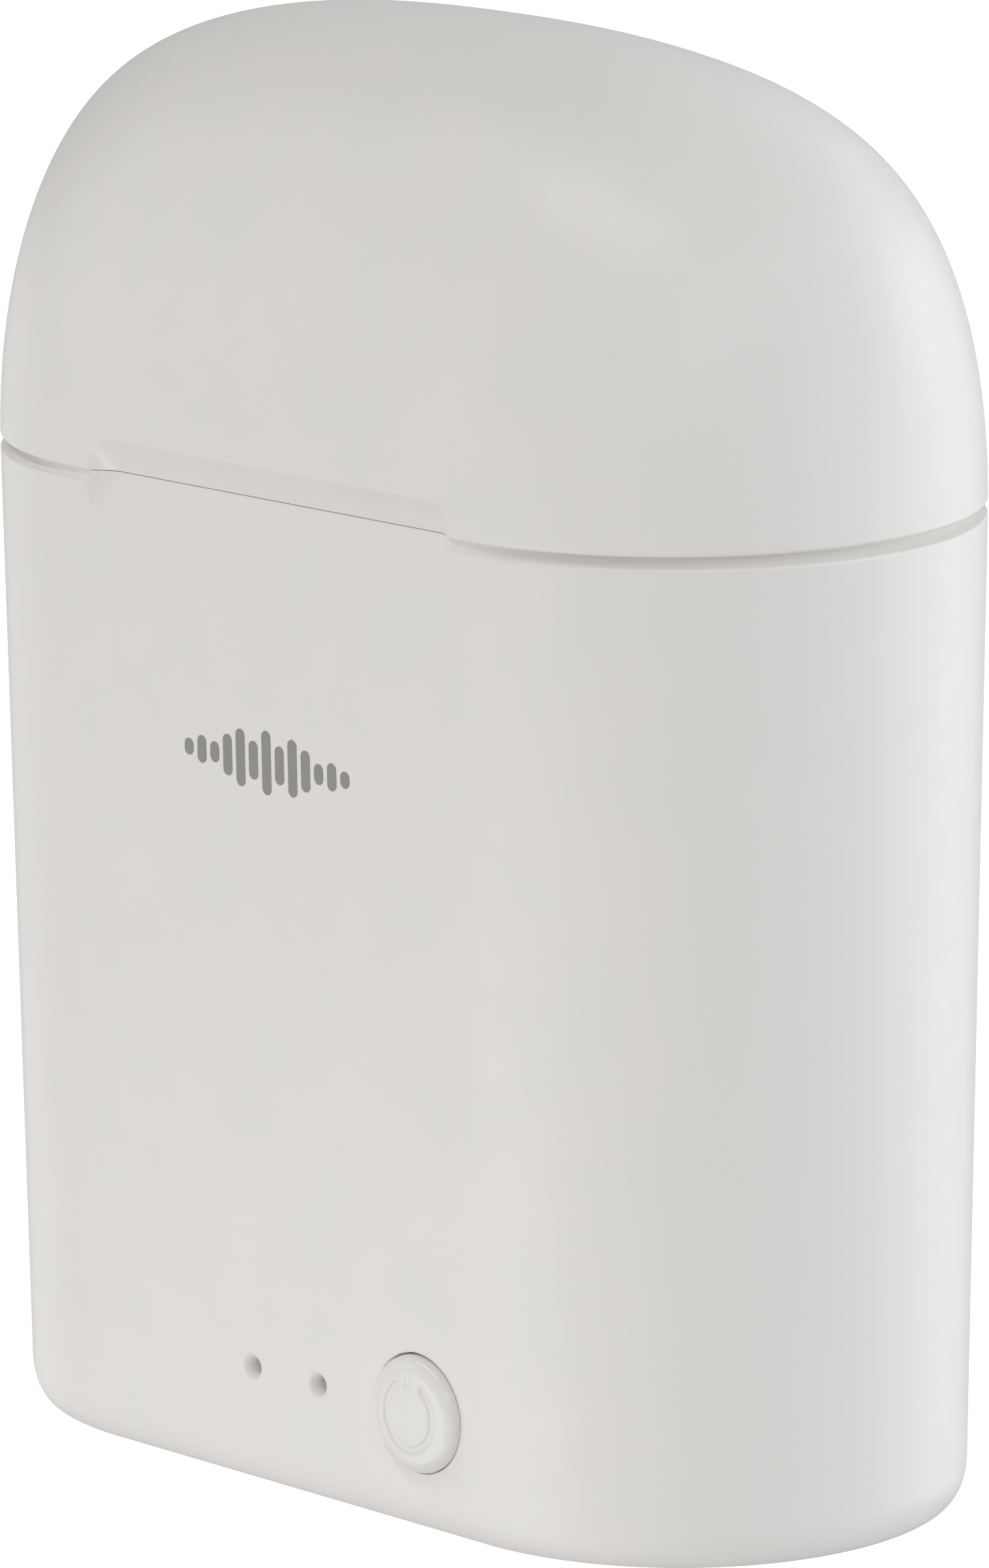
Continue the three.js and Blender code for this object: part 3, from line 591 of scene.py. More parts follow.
def smooth_step(value, low, high):
    """0 below low, 1 above high, and a smooth rise between them."""
    t = np.clip((value - low) / (high - low), 0, 1)
    return t * t * (3 - 2 * t)


def notch_depth(x, z):
    """How deep the thumb notch is cut into the front at (x, z)."""
    side = np.abs(x) - (NOTCH_HALF_WIDTH - NOTCH_CORNER)
    height = np.abs(z - (NOTCH_LOW + NOTCH_HIGH) / 2) - ((NOTCH_HIGH - NOTCH_LOW) / 2 - NOTCH_CORNER)
    outside = np.hypot(np.maximum(side, 0), np.maximum(height, 0))
    distance = outside + np.minimum(np.maximum(side, height), 0) - NOTCH_CORNER
    from_below = (z - NOTCH_LOW) / (PARTING_Z - NOTCH_LOW)
    from_above = (NOTCH_HIGH - z) / (NOTCH_HIGH - PARTING_Z)
    vee = NOTCH_DEPTH * np.minimum(from_below, from_above)
    wall = -distance * NOTCH_WALL_SLOPE
    depth = soft_min(vee, wall, 5 * NOTCH_SOFTNESS)
    return np.maximum(soft_max(depth, np.zeros_like(depth), NOTCH_SOFTNESS), 0)


def notched(ring, rounding):
    """Presses the thumb notch into the front of a ring that a rim rounding has moved inwards."""
    front = OUT_Y < -0.999
    depth = np.where(front, notch_depth(ring[:, 0], ring[:, 2]), 0)
    taken = np.full_like(depth, 0.85 * rounding)
    moved = soft_max(depth, taken, 0.05) if taken.any() else depth
    shift = np.where(depth > 1e-6, np.maximum(moved - taken, 0), 0)
    ring = ring.copy()
    ring[:, 1] += shift
    return ring


def smooth_path(points, steps):
    """A smooth curve through points, with steps to each span."""
    points = np.array(points, dtype=float)
    padded = np.concatenate([[2 * points[0] - points[1]], points, [2 * points[-1] - points[-2]]])
    path = []
    for before, start, end, after in zip(padded, padded[1:], padded[2:], padded[3:]):
        slope = end - before
        square = 2 * before - 5 * start + 4 * end - after
        cube = 3 * start - before - 3 * end + after
        for t in np.arange(steps) / steps:
            path.append(start + 0.5 * (slope * t + (square * t ** 2 + cube * t ** 3)))
    path.append(points[-1])
    return path


def base_rings():
    """The base shell's skin, from the middle of the inner floor over the rim to the bottom face."""
    rings = []
    floor_inset = draft_inset(BASE_WALL) + BASE_WALL
    for rise, inset in round_over(FLOOR_CORNER, 6):
        rings.append(stadium(floor_inset + inset, BASE_WALL + rise))
    rim = PARTING_Z - PARTING_GAP / 2
    for z in np.linspace(BASE_WALL + FLOOR_CORNER + 4, rim - 4, 6):
        rings.append(stadium(draft_inset(z) + BASE_WALL, z))
    rings.append(stadium(draft_inset(rim) + BASE_WALL, rim - INNER_RIM_CHAMFER))
    rings.append(stadium(BASE_WALL - INNER_RIM_CHAMFER, rim))
    lip = rim + PARTING_GAP - 0.01
    rings.append(stadium(BASE_WALL - INNER_RIM_CHAMFER - 0.01, lip))
    rings.append(stadium(LIP_INSET, lip))
    rings.append(stadium(LIP_INSET - 0.01, rim))
    sideways = np.abs(MIDDLE + END_RADIUS * OUT_X)
    away = smooth_step(sideways, NOTCH_HALF_WIDTH - 0.4, NOTCH_HALF_WIDTH + 5.5)
    share = BASE_RIM_SHARE_AT_NOTCH + (1 - BASE_RIM_SHARE_AT_NOTCH) * away
    for rounding, drop in smooth_path(BASE_RIM, 3):
        z = rim - drop
        rings.append(notched(stadium(draft_inset(z) + rounding * share, z), rounding * share))
    low = NOTCH_LOW - 0.25
    for z in np.linspace(rim - BASE_RIM[-1][1] - 0.06, low, 24):
        rings.append(notched(stadium(draft_inset(z), z), 0))
    for z in np.linspace(low, CONTROLS_TOP, 9)[1:-1]:
        rings.append(stadium(draft_inset(z), z))
    for z in np.linspace(CONTROLS_TOP, BOTTOM_EDGE_RISE, 20)[:-1]:
        rings.append(stadium(draft_inset(z), z))
    for a in np.linspace(math.pi / 2, 0, 15):
        z = BOTTOM_EDGE_RISE * (1 - math.cos(a))
        rings.append(stadium(draft_inset(z) + BOTTOM_EDGE_INSET * (1 - math.sin(a)), z))
    return rings


def lid_rings():
    """The lid shell's skin, from the inner pole down to the rim and up over the dome."""
    inner = [dome_ring(share, LID_WALL) for share in np.linspace(0.06, CAP_SHARE, 22)]
    cap = dome_cap(CAP_SHARE, LID_WALL, 18)
    rings = list(reversed(inner + cap))
    rim = PARTING_Z + PARTING_GAP / 2
    rings.append(stadium(LID_WALL, rim + INNER_RIM_CHAMFER))
    rings.append(stadium(LID_WALL - INNER_RIM_CHAMFER, rim))
    rings.append(stadium(LID_WALL - 2 * INNER_RIM_CHAMFER, rim))
    for a in np.linspace(math.pi / 2, 0, 13)[:-1]:
        rounding = LID_RIM_RADIUS * (1 - math.cos(a))
        z = rim + LID_RIM_RADIUS * (1 - math.sin(a))
        share = (z - SEAM_Z) / DOME_RISE
        reach = dome_ring(share, 0)
        ring = stadium(rounding, z)
        ring[:, :2] += reach[:, :2] - stadium(0, z)[:, :2]
        rings.append(notched(ring, rounding))
    start = (rim + LID_RIM_RADIUS - SEAM_Z) / DOME_RISE
    middle = (NOTCH_HIGH + 0.25 - SEAM_Z) / DOME_RISE
    for share in np.linspace(start, middle, 28):
        rings.append(notched(dome_ring(share, 0), 0))
    for share in np.linspace(middle, CAP_SHARE, 36)[1:]:
        rings.append(dome_ring(share, 0))
    rings += dome_cap(CAP_SHARE, 0, 56)
    return rings


def hinge_groove(side):
    """Room for the hinge: side 1 cuts the lid, side -1 cuts the base."""
    start = HINGE_Y - GROOVE_APEX_GAP
    end = HINGE_Y + GROOVE_REACH
    outline = [
        (start, SEAM_Z - side),
        (end, SEAM_Z - side),
        (end, SEAM_Z + side * (GROOVE_APEX_GAP + GROOVE_REACH * GROOVE_SLOPE)),
        (start, SEAM_Z + side * GROOVE_APEX_GAP),
    ]
    return prism_x("groove", outline, GROOVE_HALF_LENGTH)


def plain_rod(name, radius, low, high, axis, centre, steps=64):
    """A plain cylinder along an axis."""
    return turned(name, [(0, low), (radius, low), (radius, high), (0, high)], axis, centre, steps)


def knuckle_room():
    """Room for the turning knuckles, cut from every piece they come near."""
    half = KNUCKLES_HALF + KNUCKLE_ROOM
    return plain_rod("room", KNUCKLE_RADIUS + KNUCKLE_ROOM, -half, half, 0, (0, HINGE_Y, SEAM_Z), 96)


def key_mouth():
    """A cutter for the key hole's mouth, square to the drafted wall, a little taller than wide."""
    mouth = front_y(CONTROL_Z)
    wide = KEY_HOLE_RADIUS + KEY_MOUTH_FILLET
    profile = [(0, mouth - CUTTER_START), (wide, mouth - CUTTER_START), (wide, mouth - SKIN)]
    for rise, inset in round_over(KEY_MOUTH_FILLET, 8)[1:]:
        profile.append((KEY_HOLE_RADIUS + inset, mouth + rise))
    profile += [(KEY_HOLE_RADIUS, mouth + KEY_MOUTH_DEPTH), (0, mouth + KEY_MOUTH_DEPTH)]
    hole = turned("key_mouth", profile, 1, (KEY_X, 0, CONTROL_Z), 112)
    pivot = Matrix.Translation((0, mouth, CONTROL_Z))
    hole.data.transform(pivot @ Matrix.Rotation(-math.atan(DRAFT), 4, "X") @ pivot.inverted())
    pivot = Matrix.Translation((KEY_X, 0, 0))
    squeeze = Matrix.Diagonal((KEY_HOLE_SIDE_RADIUS / KEY_HOLE_RADIUS, 1, 1, 1))
    hole.data.transform(pivot @ squeeze @ pivot.inverted())
    return hole


def light_horn(x):
    """A cutter for a status light: a mouth that narrows like a horn, then the bore of the light guide."""
    mouth = front_y(CONTROL_Z)
    wide, narrow = LED_HOLE_RADIUS, LED_HOLE_RADIUS - LED_HORN_WIDTH
    profile = [(0, mouth - CUTTER_START), (wide, mouth - CUTTER_START), (wide, mouth - SKIN)]
    for a in np.linspace(0, math.pi / 2, 13)[1:]:
        radius = wide - LED_HORN_WIDTH * math.sin(a)
        profile.append((radius, mouth + LED_HORN_DEPTH * (1 - math.cos(a))))
    start, end = mouth + PIPE_RECESS - 0.03, mouth + 3.0
    profile += [(narrow, start), (PIPE_BORE_RADIUS, start), (PIPE_BORE_RADIUS, end), (0, end)]
    return turned("light_horn", profile, 1, (x, 0, CONTROL_Z), 80)


def port_rings(spots):
    """Rings of the port's pill shape, from (z, growth) pairs."""
    rings = []
    for z, grow in spots:
        half = PORT_HALF_DEPTH + grow
        flat = rounded_rectangle(PORT_HALF_WIDTH + grow, half, half * PILL_CORNER, 16)
        rings.append(level_ring(flat, z))
    return rings


def port_slot():
    """A cutter for the charging opening in the floor, with a rounded mouth."""
    wide = PORT_ROOM + PORT_MOUTH_FILLET
    spots = [(-1.0, wide), (-SKIN, wide)]
    spots += [(rise, PORT_ROOM + inset) for rise, inset in round_over(PORT_MOUTH_FILLET, 6)[1:]]
    spots.append((BASE_WALL + 1, PORT_ROOM))
    return sock("port_slot", port_rings(spots))


# ---------------------------------------------------------------- base and lid shells

base = sock("base_housing", base_rings())
wall_middle = front_y(CONTROL_Z) + BASE_WALL / 2
for side in (1, -1):
    spot = (side * SCREW_X, 0, CONTROL_Z)
    join(base, plain_rod("boss", SCREW_BOSS_RADIUS, wall_middle, BOARD_FRONT_Y - 0.3, 1, spot))
    cut(base, plain_rod("pilot", SCREW_PILOT_RADIUS, *SCREW_PILOT_Y, 1, spot, 32))
    cut(base, light_horn(side * LED_X))
spot = (KEY_X, 0, CONTROL_Z)
key_throat = plain_rod("key_throat", KEY_HOLE_SIDE_RADIUS, *KEY_THROAT_Y, 1, spot, 192)
flange_room = plain_rod("flange_room", FLANGE_ROOM_RADIUS, *FLANGE_ROOM_Y, 1, spot, 96)
cut(base, key_mouth(), key_throat, flange_room)
cut(base, port_slot(), hinge_groove(-1), knuckle_room())
finished(base, "base", WHITE_SHELL, ["base_shell"])

lid = sock("lid_dome", lid_rings())
cut(lid, hinge_groove(1), knuckle_room())
finished(lid, "lid", WHITE_SHELL, ["lid_shell"])

# ---------------------------------------------------------------- cradle tray and lid liner


def ellipse(half_x, half_y, x, y, steps):
    """The outline of an ellipse about (x, y)."""
    turn = np.arange(steps) * 2 * math.pi / steps
    return np.column_stack([x + half_x * np.cos(turn), y + half_y * np.sin(turn)])


def ellipsoid(name, radii, x, y, z):
    """A closed ellipsoid of rings about the vertical."""
    rings = []
    for a in np.linspace(-math.pi / 2, math.pi / 2, 61)[1:-1]:
        flat = ellipse(radii[0] * math.cos(a), radii[1] * math.cos(a), x, y, 120)
        rings.append(level_ring(flat, z + radii[2] * math.sin(a)))
    return sock(name, rings)


def plate(name, inset, low, high, edge):
    """A stadium plate with rounded upper and lower edges."""
    rings = [stadium(inset + step, low + rise) for rise, step in round_over(edge, 4)]
    rings += [stadium(inset + step, high - rise) for rise, step in reversed(round_over(edge, 4))]
    return sock(name, rings)


def block(name, x, y, z):
    """A box between two limits on each axis."""
    rings = []
    for height in z:
        rings.append(np.array([
            (x[0], y[0], height), (x[1], y[0], height), (x[1], y[1], height), (x[0], y[1], height),
        ]))
    return sock(name, rings)


def mouth_ring(radii, x, y, top, fillet):
    """A cutter that rounds the edge where an ellipsoid well meets the flat deck."""
    spots = [(top + 1, fillet), (top + SKIN, fillet)]
    spots += [(top - rise, inset) for rise, inset in round_over(fillet, 6)[1:]]
    spots.append((top - fillet - 0.6, -0.25))
    rings = []
    for z, flare in spots:
        rings.append(level_ring(ellipse(radii[0] + flare, radii[1] + flare, x, y, 160), z))
    return sock("mouth", rings)


def upright_rod(name, radius, low, high, x, steps):
    """An upright rod standing in line with the stem tubes."""
    return plain_rod(name, radius, low, high, 2, (x, STEM_Y, 0), steps)


def cradle_tray():
    """The tray on the base: a deck with two cups, a stem tube under each, and contact holes."""
    edge = BASE_WALL + TRAY_GAP
    tray = plate("cradle", edge, TRAY_SKIRT_BOTTOM_Z, DECK_TOP_Z, 0.25)
    under = [stadium(edge + 1, TRAY_SKIRT_BOTTOM_Z - 1), stadium(edge + 1, DECK_TOP_Z - DECK_THICKNESS)]
    cut(tray, sock("under", under))
    for side in (1, -1):
        well_x, stem_x = side * WELL_X, side * STEM_X
        outer = ellipsoid("cup", [r + WELL_WALL for r in WELL_RADII], well_x, WELL_Y, DECK_TOP_Z)
        cut(outer, block("above", (-FAR, FAR), (-FAR, FAR), (DECK_TOP_Z - 0.4, 2 * FAR)))
        tube = upright_rod(
            "tube", STEM_RADIUS + STEM_WALL, STEM_FLOOR_Z - 1, STEM_TUBE_TOP_Z, stem_x, 96,
        )
        join(tray, outer, tube)
    for side in (1, -1):
        well_x, stem_x = side * WELL_X, side * STEM_X
        cut(tray, ellipsoid("well", WELL_RADII, well_x, WELL_Y, DECK_TOP_Z))
        cut(tray, mouth_ring(WELL_RADII, well_x, WELL_Y, DECK_TOP_Z, 0.35))
        cut(tray, upright_rod("bore", STEM_RADIUS, STEM_FLOOR_Z, STEM_TUBE_TOP_Z + 1, stem_x, 96))
        for x in (stem_x - CONTACT_SPACING, stem_x + CONTACT_SPACING):
            low, high = STEM_FLOOR_Z - 2, STEM_FLOOR_Z + 1
            cut(tray, upright_rod("contact_hole", CONTACT_HOLE_RADIUS, low, high, x, 32))
    half = KNUCKLES_HALF + KNUCKLE_ROOM
    depth = (BASE_BRACKET_Y[0] - BRACKET_SIDE_GAP, END_RADIUS)
    room = block("bracket_room", (-half, half), depth, (SEAM_Z - BRACKET_POCKET_DROP, SEAM_Z))
    return cut(tray, room, knuckle_room())


def lid_liner():
    """The liner in the lid: a plate with a pocket over each well."""
    low = SEAM_Z + 0.5
    liner = plate("liner", LID_WALL + LINER_GAP, low, low + 1, 0.2)
    for side in (1, -1):
        outer = ellipsoid("cup", [r + WELL_WALL for r in POCKET_RADII], side * WELL_X, WELL_Y, low)
        cut(outer, block("below", (-FAR, FAR), (-FAR, FAR), (0, low + 0.3)))
        join(liner, outer)
    for side in (1, -1):
        cut(liner, ellipsoid("pocket", POCKET_RADII, side * WELL_X, WELL_Y, low))
    half = LID_BRACKET_HALF + 0.4
    depth = (LID_BRACKET_Y[0] - BRACKET_SIDE_GAP, END_RADIUS)
    room = block("bracket_room", (-half, half), depth, (SEAM_Z, SEAM_Z + 6))
    return cut(liner, room, knuckle_room())


finished(cradle_tray(), "base", WHITE_INNER, ["cradle_tray"])
finished(lid_liner(), "lid", WHITE_INNER, ["lid_liner"])

# ---------------------------------------------------------------- hinge


def soft_rod(name, radius, low, high, edge, axis, centre, steps=64):
    """A turned rod with rounded end edges."""
    profile = [(0, low)]
    profile += [(radius - inset, low + rise) for rise, inset in round_over(edge, 4)]
    profile += [(radius - inset, high - rise) for rise, inset in reversed(round_over(edge, 4))]
    profile.append((0, high))
    return turned(name, profile, axis, centre, steps)


def knuckle(low, high):
    """One hinge knuckle about the pin."""
    return soft_rod("knuckle", KNUCKLE_RADIUS, low, high, 0.12, 0, (0, HINGE_Y, SEAM_Z))


def pin_bore():
    """A cutter for the pin's bore through the knuckles."""
    return plain_rod("pin_bore", PIN_BORE_RADIUS, -12, 12, 0, (0, HINGE_Y, SEAM_Z), 48)


def base_bracket():
    """The base's bracket: a leaf bonded to the tray, with the two outer knuckles."""
    inner = CENTRE_KNUCKLE_HALF + KNUCKLE_SIDE_GAP
    top = SEAM_Z - BRACKET_LEAF_GAP
    front = BASE_BRACKET_Y[0]
    width, height = (-KNUCKLES_HALF, KNUCKLES_HALF), (BRACKET_BOTTOM_Z, SEAM_Z - 2)
    bracket = block("bracket_of_base", width, BASE_BRACKET_Y, height)
    for side in (1, -1):
        span = sorted((side * inner, side * KNUCKLES_HALF))
        join(
            bracket,
            block("web", span, BASE_BRACKET_Y, (SEAM_Z - 3, top)),
            block("arm", span, (front, HINGE_Y), (SEAM_Z - KNUCKLE_RADIUS, top)),
            knuckle(*span),
        )
    return cut(bracket, pin_bore())


def lid_bracket():
    """The lid's bracket: a leaf bonded to the liner, with the centre knuckle."""
    half = CENTRE_KNUCKLE_HALF
    bottom = SEAM_Z + BRACKET_LEAF_GAP
    front = LID_BRACKET_Y[0]
    width = (-LID_BRACKET_HALF, LID_BRACKET_HALF)
    bracket = block("bracket_of_lid", width, LID_BRACKET_Y, (SEAM_Z + 1.6, SEAM_Z + 5))
    join(
        bracket,
        block("neck", (-half, half), LID_BRACKET_Y, (bottom, SEAM_Z + 2)),
        block("arm", (-half, half), (front, HINGE_Y), (bottom, SEAM_Z + KNUCKLE_RADIUS)),
        knuckle(-half, half),
    )
    return cut(bracket, pin_bore())


finished(base_bracket(), "base", WHITE_SHELL, ["hinge_bracket_base"])
finished(lid_bracket(), "lid", WHITE_SHELL, ["hinge_bracket_lid"])
pin_half = KNUCKLES_HALF - 0.1
pin = soft_rod("steel_pin", PIN_RADIUS, -pin_half, pin_half, 0.1, 0, (0, HINGE_Y, SEAM_Z), 48)
finished(pin, "base", STEEL, ["hinge_pin"])

# ---------------------------------------------------------------- power key


def symbol_depth(x, z):
    """How deep the power symbol is pressed in at (x, z): an open ring, and a shallower bar."""
    ring_width, ring_height, opening = 1.27, 1.38, math.radians(34)
    u = x * ring_height / ring_width
    angle = np.abs(np.arctan2(u, z))
    to_ring = np.abs(np.hypot(u, z) - ring_height)
    end_u, end_z = ring_height * math.sin(opening), ring_height * math.cos(opening)
    to_end = np.hypot(np.abs(u) - end_u, z - end_z)
    ring = np.where(angle > opening, to_ring, to_end)
    low, high = np.array([-0.09, 1.28]), np.array([0.04, 1.93])
    span = high - low
    share = np.clip(((x - low[0]) * span[0] + (z - low[1]) * span[1]) / span.dot(span), 0, 1)
    bar = np.hypot(x - low[0] - share * span[0], z - low[1] - share * span[1])
    ring_groove = 0.115 * (1 - smooth_step(ring, 0.06, 0.22))
    bar_groove = 0.075 * (1 - smooth_step(bar, 0.03, 0.22))
    return np.maximum(ring_groove, bar_groove)


def power_key():
    """The key cap: a flat face with the symbol pressed in, a rounded edge, a flange and a post."""
    face = front_y(CONTROL_Z) - KEY_PROUD
    columns = 288
    turn = np.arange(columns) * 2 * math.pi / columns
    profile = [(r, face) for r in np.linspace(0.03, KEY_RADIUS - KEY_EDGE_WIDTH, 60)]
    for a in np.linspace(0, math.pi / 2, 25)[1:]:
        profile.append((
            KEY_RADIUS - KEY_EDGE_WIDTH * (1 - math.sin(a)),
            face + KEY_PROUD * (1 - math.cos(a)),
        ))
    flange_front = KEY_FLANGE_BACK_Y - KEY_FLANGE_THICKNESS
    profile += [
        (KEY_RADIUS, flange_front),
        (KEY_FLANGE_RADIUS - 0.1, flange_front),
        (KEY_FLANGE_RADIUS, flange_front + 0.1),
        (KEY_FLANGE_RADIUS, KEY_FLANGE_BACK_Y),
        (KEY_POST_RADIUS, KEY_FLANGE_BACK_Y),
        (KEY_POST_RADIUS, KEY_POST_END_Y - 0.1),
        (KEY_POST_RADIUS - 0.1, KEY_POST_END_Y),
        (0.03, KEY_POST_END_Y),
    ]
    rings = []
    for radius, y in profile:
        x, z = radius * np.sin(turn), radius * np.cos(turn)
        pressed = symbol_depth(x, z) if y < face + 0.35 else 0
        rings.append(np.column_stack([KEY_X + x, y + pressed + np.zeros(columns), CONTROL_Z + z]))
    return sock("key_cap", rings)


finished(power_key(), "power_key", KEY_GLOSS, ["power_key"], crease=50)

# ---------------------------------------------------------------- status lights and charging port


def light_pipe(name, x):
    """A light guide: a clear rod with a collar behind the wall, from the hole to the board's light."""
    face = front_y(CONTROL_Z) + PIPE_RECESS
    front, back = PIPE_COLLAR_Y
    chamfer = 0.05
    profile = [(0.01, face)]
    profile += [(PIPE_RADIUS - inset, face + rise) for rise, inset in round_over(PIPE_FACE_EDGE, 6)]
    profile += [
        (PIPE_RADIUS, front),
        (PIPE_COLLAR_RADIUS - chamfer, front),
        (PIPE_COLLAR_RADIUS, front + chamfer),
        (PIPE_COLLAR_RADIUS, back - chamfer),
        (PIPE_COLLAR_RADIUS - chamfer, back),
        (PIPE_RADIUS, back),
        (PIPE_RADIUS, PIPE_END_Y - 0.1),
        (PIPE_RADIUS - 0.1, PIPE_END_Y),
        (0.01, PIPE_END_Y),
    ]
    return turned(name, profile, 1, (x, 0, CONTROL_Z), 64)


for name, side in (("left", -1), ("right", 1)):
    pipe = light_pipe(f"light_guide_{name}", side * LED_X)
    finished(pipe, "base", LIGHT_GUIDE, [f"light_pipe_{name}"])


def port_receptacle():
    """The metal shell of the charging port: a deep drawn cup with a rolled lip."""
    inside = [(PORT_HIGH - PORT_WALL, -PORT_WALL), (PORT_LOW + 0.4, -PORT_WALL)]
    rolled_lip = [
        (PORT_LOW + PORT_LIP, -PORT_WALL),
        (PORT_LOW + 0.04, -PORT_WALL + 0.05),
        (PORT_LOW, -PORT_WALL + PORT_LIP),
        (PORT_LOW, -PORT_LIP),
        (PORT_LOW + 0.04, -0.04),
        (PORT_LOW + PORT_LIP, 0),
    ]
    outside = [(PORT_HIGH - 0.3, 0), (PORT_HIGH - 0.08, -0.08), (PORT_HIGH, -0.3)]
    return sock("port_receptacle", port_rings(inside + rolled_lip + outside))


finished(port_receptacle(), "base", PORT_METAL, ["charge_port_shell"])


def contact_strip_look():
    """Black port tongue with gold contact stripes on both faces."""
    look = Look("port_tongue", srgb(30, 31, 33), 0.45)
    parts = look.node("ShaderNodeSeparateXYZ")
    look.link(look.place, parts.inputs["Vector"])
    wave = look.node("ShaderNodeMath", operation="SINE")
    scaled = look.node("ShaderNodeMath", operation="MULTIPLY")
    stripe_pitch = 0.5 * MM
    scaled.inputs[1].default_value = 2 * math.pi / stripe_pitch
    look.link(parts.outputs["X"], scaled.inputs[0])
    look.link(scaled.outputs[0], wave.inputs[0])
    stripe = look.node("ShaderNodeMath", operation="GREATER_THAN")
    stripe.inputs[1].default_value = 0.1
    look.link(wave.outputs[0], stripe.inputs[0])
    look.vary_color(stripe.outputs[0], srgb(222, 184, 98))
    look.link(stripe.outputs[0], look.shader.inputs["Metallic"])
    look.bump(look.noise(6000.0, 2.0), 3e-6)
    return look.material


tongue = slab("tongue_of_port", 3.3, 0.35, 0.12, 1.1, 6.65, 0.12)
finished(tongue, "base", contact_strip_look(), ["charge_port_tongue"])

# ---------------------------------------------------------------- contact springs


def contact_spring(name, x, low, high):
    """A coil spring: a round wire swept along a helix, with its end turns lying closer together."""
    steps = 24 * SPRING_TURNS
    around = np.arange(10) * 2 * math.pi / 10
    rings = []
    for share in np.linspace(0, 1, steps + 1):
        turn = 2 * math.pi * SPRING_TURNS * share
        rise = share - 0.07 * math.sin(2 * math.pi * share)
        out = np.array([math.cos(turn), math.sin(turn), 0])
        climb = low + SPRING_WIRE_RADIUS + (high - low - 2 * SPRING_WIRE_RADIUS) * rise
        middle = np.array([x, STEM_Y, climb]) + SPRING_COIL_RADIUS * out
        spread = np.outer(np.cos(around), out) + np.outer(np.sin(around), (0, 0, 1))
        rings.append(middle + SPRING_WIRE_RADIUS * spread)
    return sock(name, rings)


for number in range(1, 5):
    node = f"contact_spring_{number}"
    corner, opposite = (np.array(c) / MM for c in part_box(node))
    middle_x = (corner[0] + opposite[0]) / 2
    spring = contact_spring(f"coil_{number}", middle_x, corner[2], opposite[2])
    finished(spring, "base", STEEL, [node])
    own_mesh(spring)

# ---------------------------------------------------------------- generic print on the front


def print_bars():
    """A row of rounded upright bars like a sound wave, a thin film of ink on the front wall."""
    points, faces = [], []
    for index, half_height in enumerate(PRINT_HALF_HEIGHTS):
        x = PRINT_X + (index - (len(PRINT_HALF_HEIGHTS) - 1) / 2) * PRINT_PITCH
        corner = PRINT_BAR_HALF_WIDTH * PILL_CORNER
        flat = rounded_rectangle(PRINT_BAR_HALF_WIDTH, half_height, corner, 10)
        start = len(points)
        count = len(flat)
        for lift in (PRINT_SUNK, -PRINT_PROUD):
            for u, v in flat:
                z = PRINT_Z + v
                points.append((x + u, front_y(z) + lift, z))
        faces.append(tuple(start + i for i in range(count)))
        faces.append(tuple(start + count + i for i in reversed(range(count))))
        for i in range(count):
            j = (i + 1) % count
            faces.append((start + j, start + i, start + count + i, start + count + j))
    return outward(new_object("front_print", points, faces))


finished(print_bars(), "base", INK)

# ---------------------------------------------------------------- materials of the CAD nodes that stay

KEPT = {
    "switch_body": BLACK, "switch_plunger": BLACK, "main_board": BOARD, "contact_board": BOARD,
    "controller_chip": BLACK, "power_inductor": FERRITE, "board_ribbon": RIBBON,
    "battery_pouch": FOIL, "battery_tape": TAPE, "battery_lead_red": LEAD_RED,
    "battery_lead_black": LEAD_BLACK, "closing_magnet_base": NICKEL, "closing_magnet_lid": NICKEL,
}
for name in ("left", "right"):
    KEPT[f"light_chip_{name}"] = CHIP_RESIN
    KEPT[f"board_screw_{name}"] = STEEL
    KEPT[f"well_magnet_{name}"] = NICKEL
for number in range(1, 5):
    KEPT[f"contact_barrel_{number}"] = GOLD
    KEPT[f"contact_pin_{number}"] = GOLD
for name, material in KEPT.items():
    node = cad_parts[name]
    for place in node.material_slots:
        place.material = material

# ---------------------------------------------------------------- floor, light and camera

WORLD_BELOW, WORLD_ABOVE = 0.415, 0.404
WARM = (1.008, 0.998, 0.992)
COOL = (0.955, 0.997, 1.03)
FULL_HEIGHT = (0, 0, 0.028)
LOW_SIDE = (0, 0, 0.015)
FLOOR_HALF = 4000.0


def area_light(name, azimuth, elevation, distance, size, power, aim=FULL_HEIGHT, height=None, tint=WARM):
    """A soft light that shines at a point of the case from a direction: degrees, metres and watts."""
    a, e = math.radians(azimuth), math.radians(elevation)
    target = Vector(aim)
    away = Vector((math.sin(a) * math.cos(e), -math.cos(a) * math.cos(e), math.sin(e)))
    data = bpy.data.lights.new(name, "AREA")
    data.shape = "RECTANGLE"
    data.size = size
    data.size_y = height or size
    data.energy = power
    data.color = tint
    light = bpy.data.objects.new(name, data)
    light.location = target + away * distance
    light.rotation_euler = away.to_track_quat("Z", "Y").to_euler()
    scene.collection.objects.link(light)


floor = new_object(
    "floor",
    [(-FLOOR_HALF, -FLOOR_HALF, 0), (FLOOR_HALF, -FLOOR_HALF, 0),
     (FLOOR_HALF, FLOOR_HALF, 0), (-FLOOR_HALF, FLOOR_HALF, 0)],
    [(0, 1, 2, 3)],
)
floor.data.transform(Matrix.Scale(MM, 4))
paper = Look("floor_paper", srgb(244, 244, 244), 0.9)
paper.shader.inputs["Emission Color"].default_value = (1, 1, 1, 1)
paper.shader.inputs["Emission Strength"].default_value = 0.75
floor.data.materials.append(paper.material)
floor.visible_diffuse = False
floor.visible_glossy = False
floor.visible_shadow = False

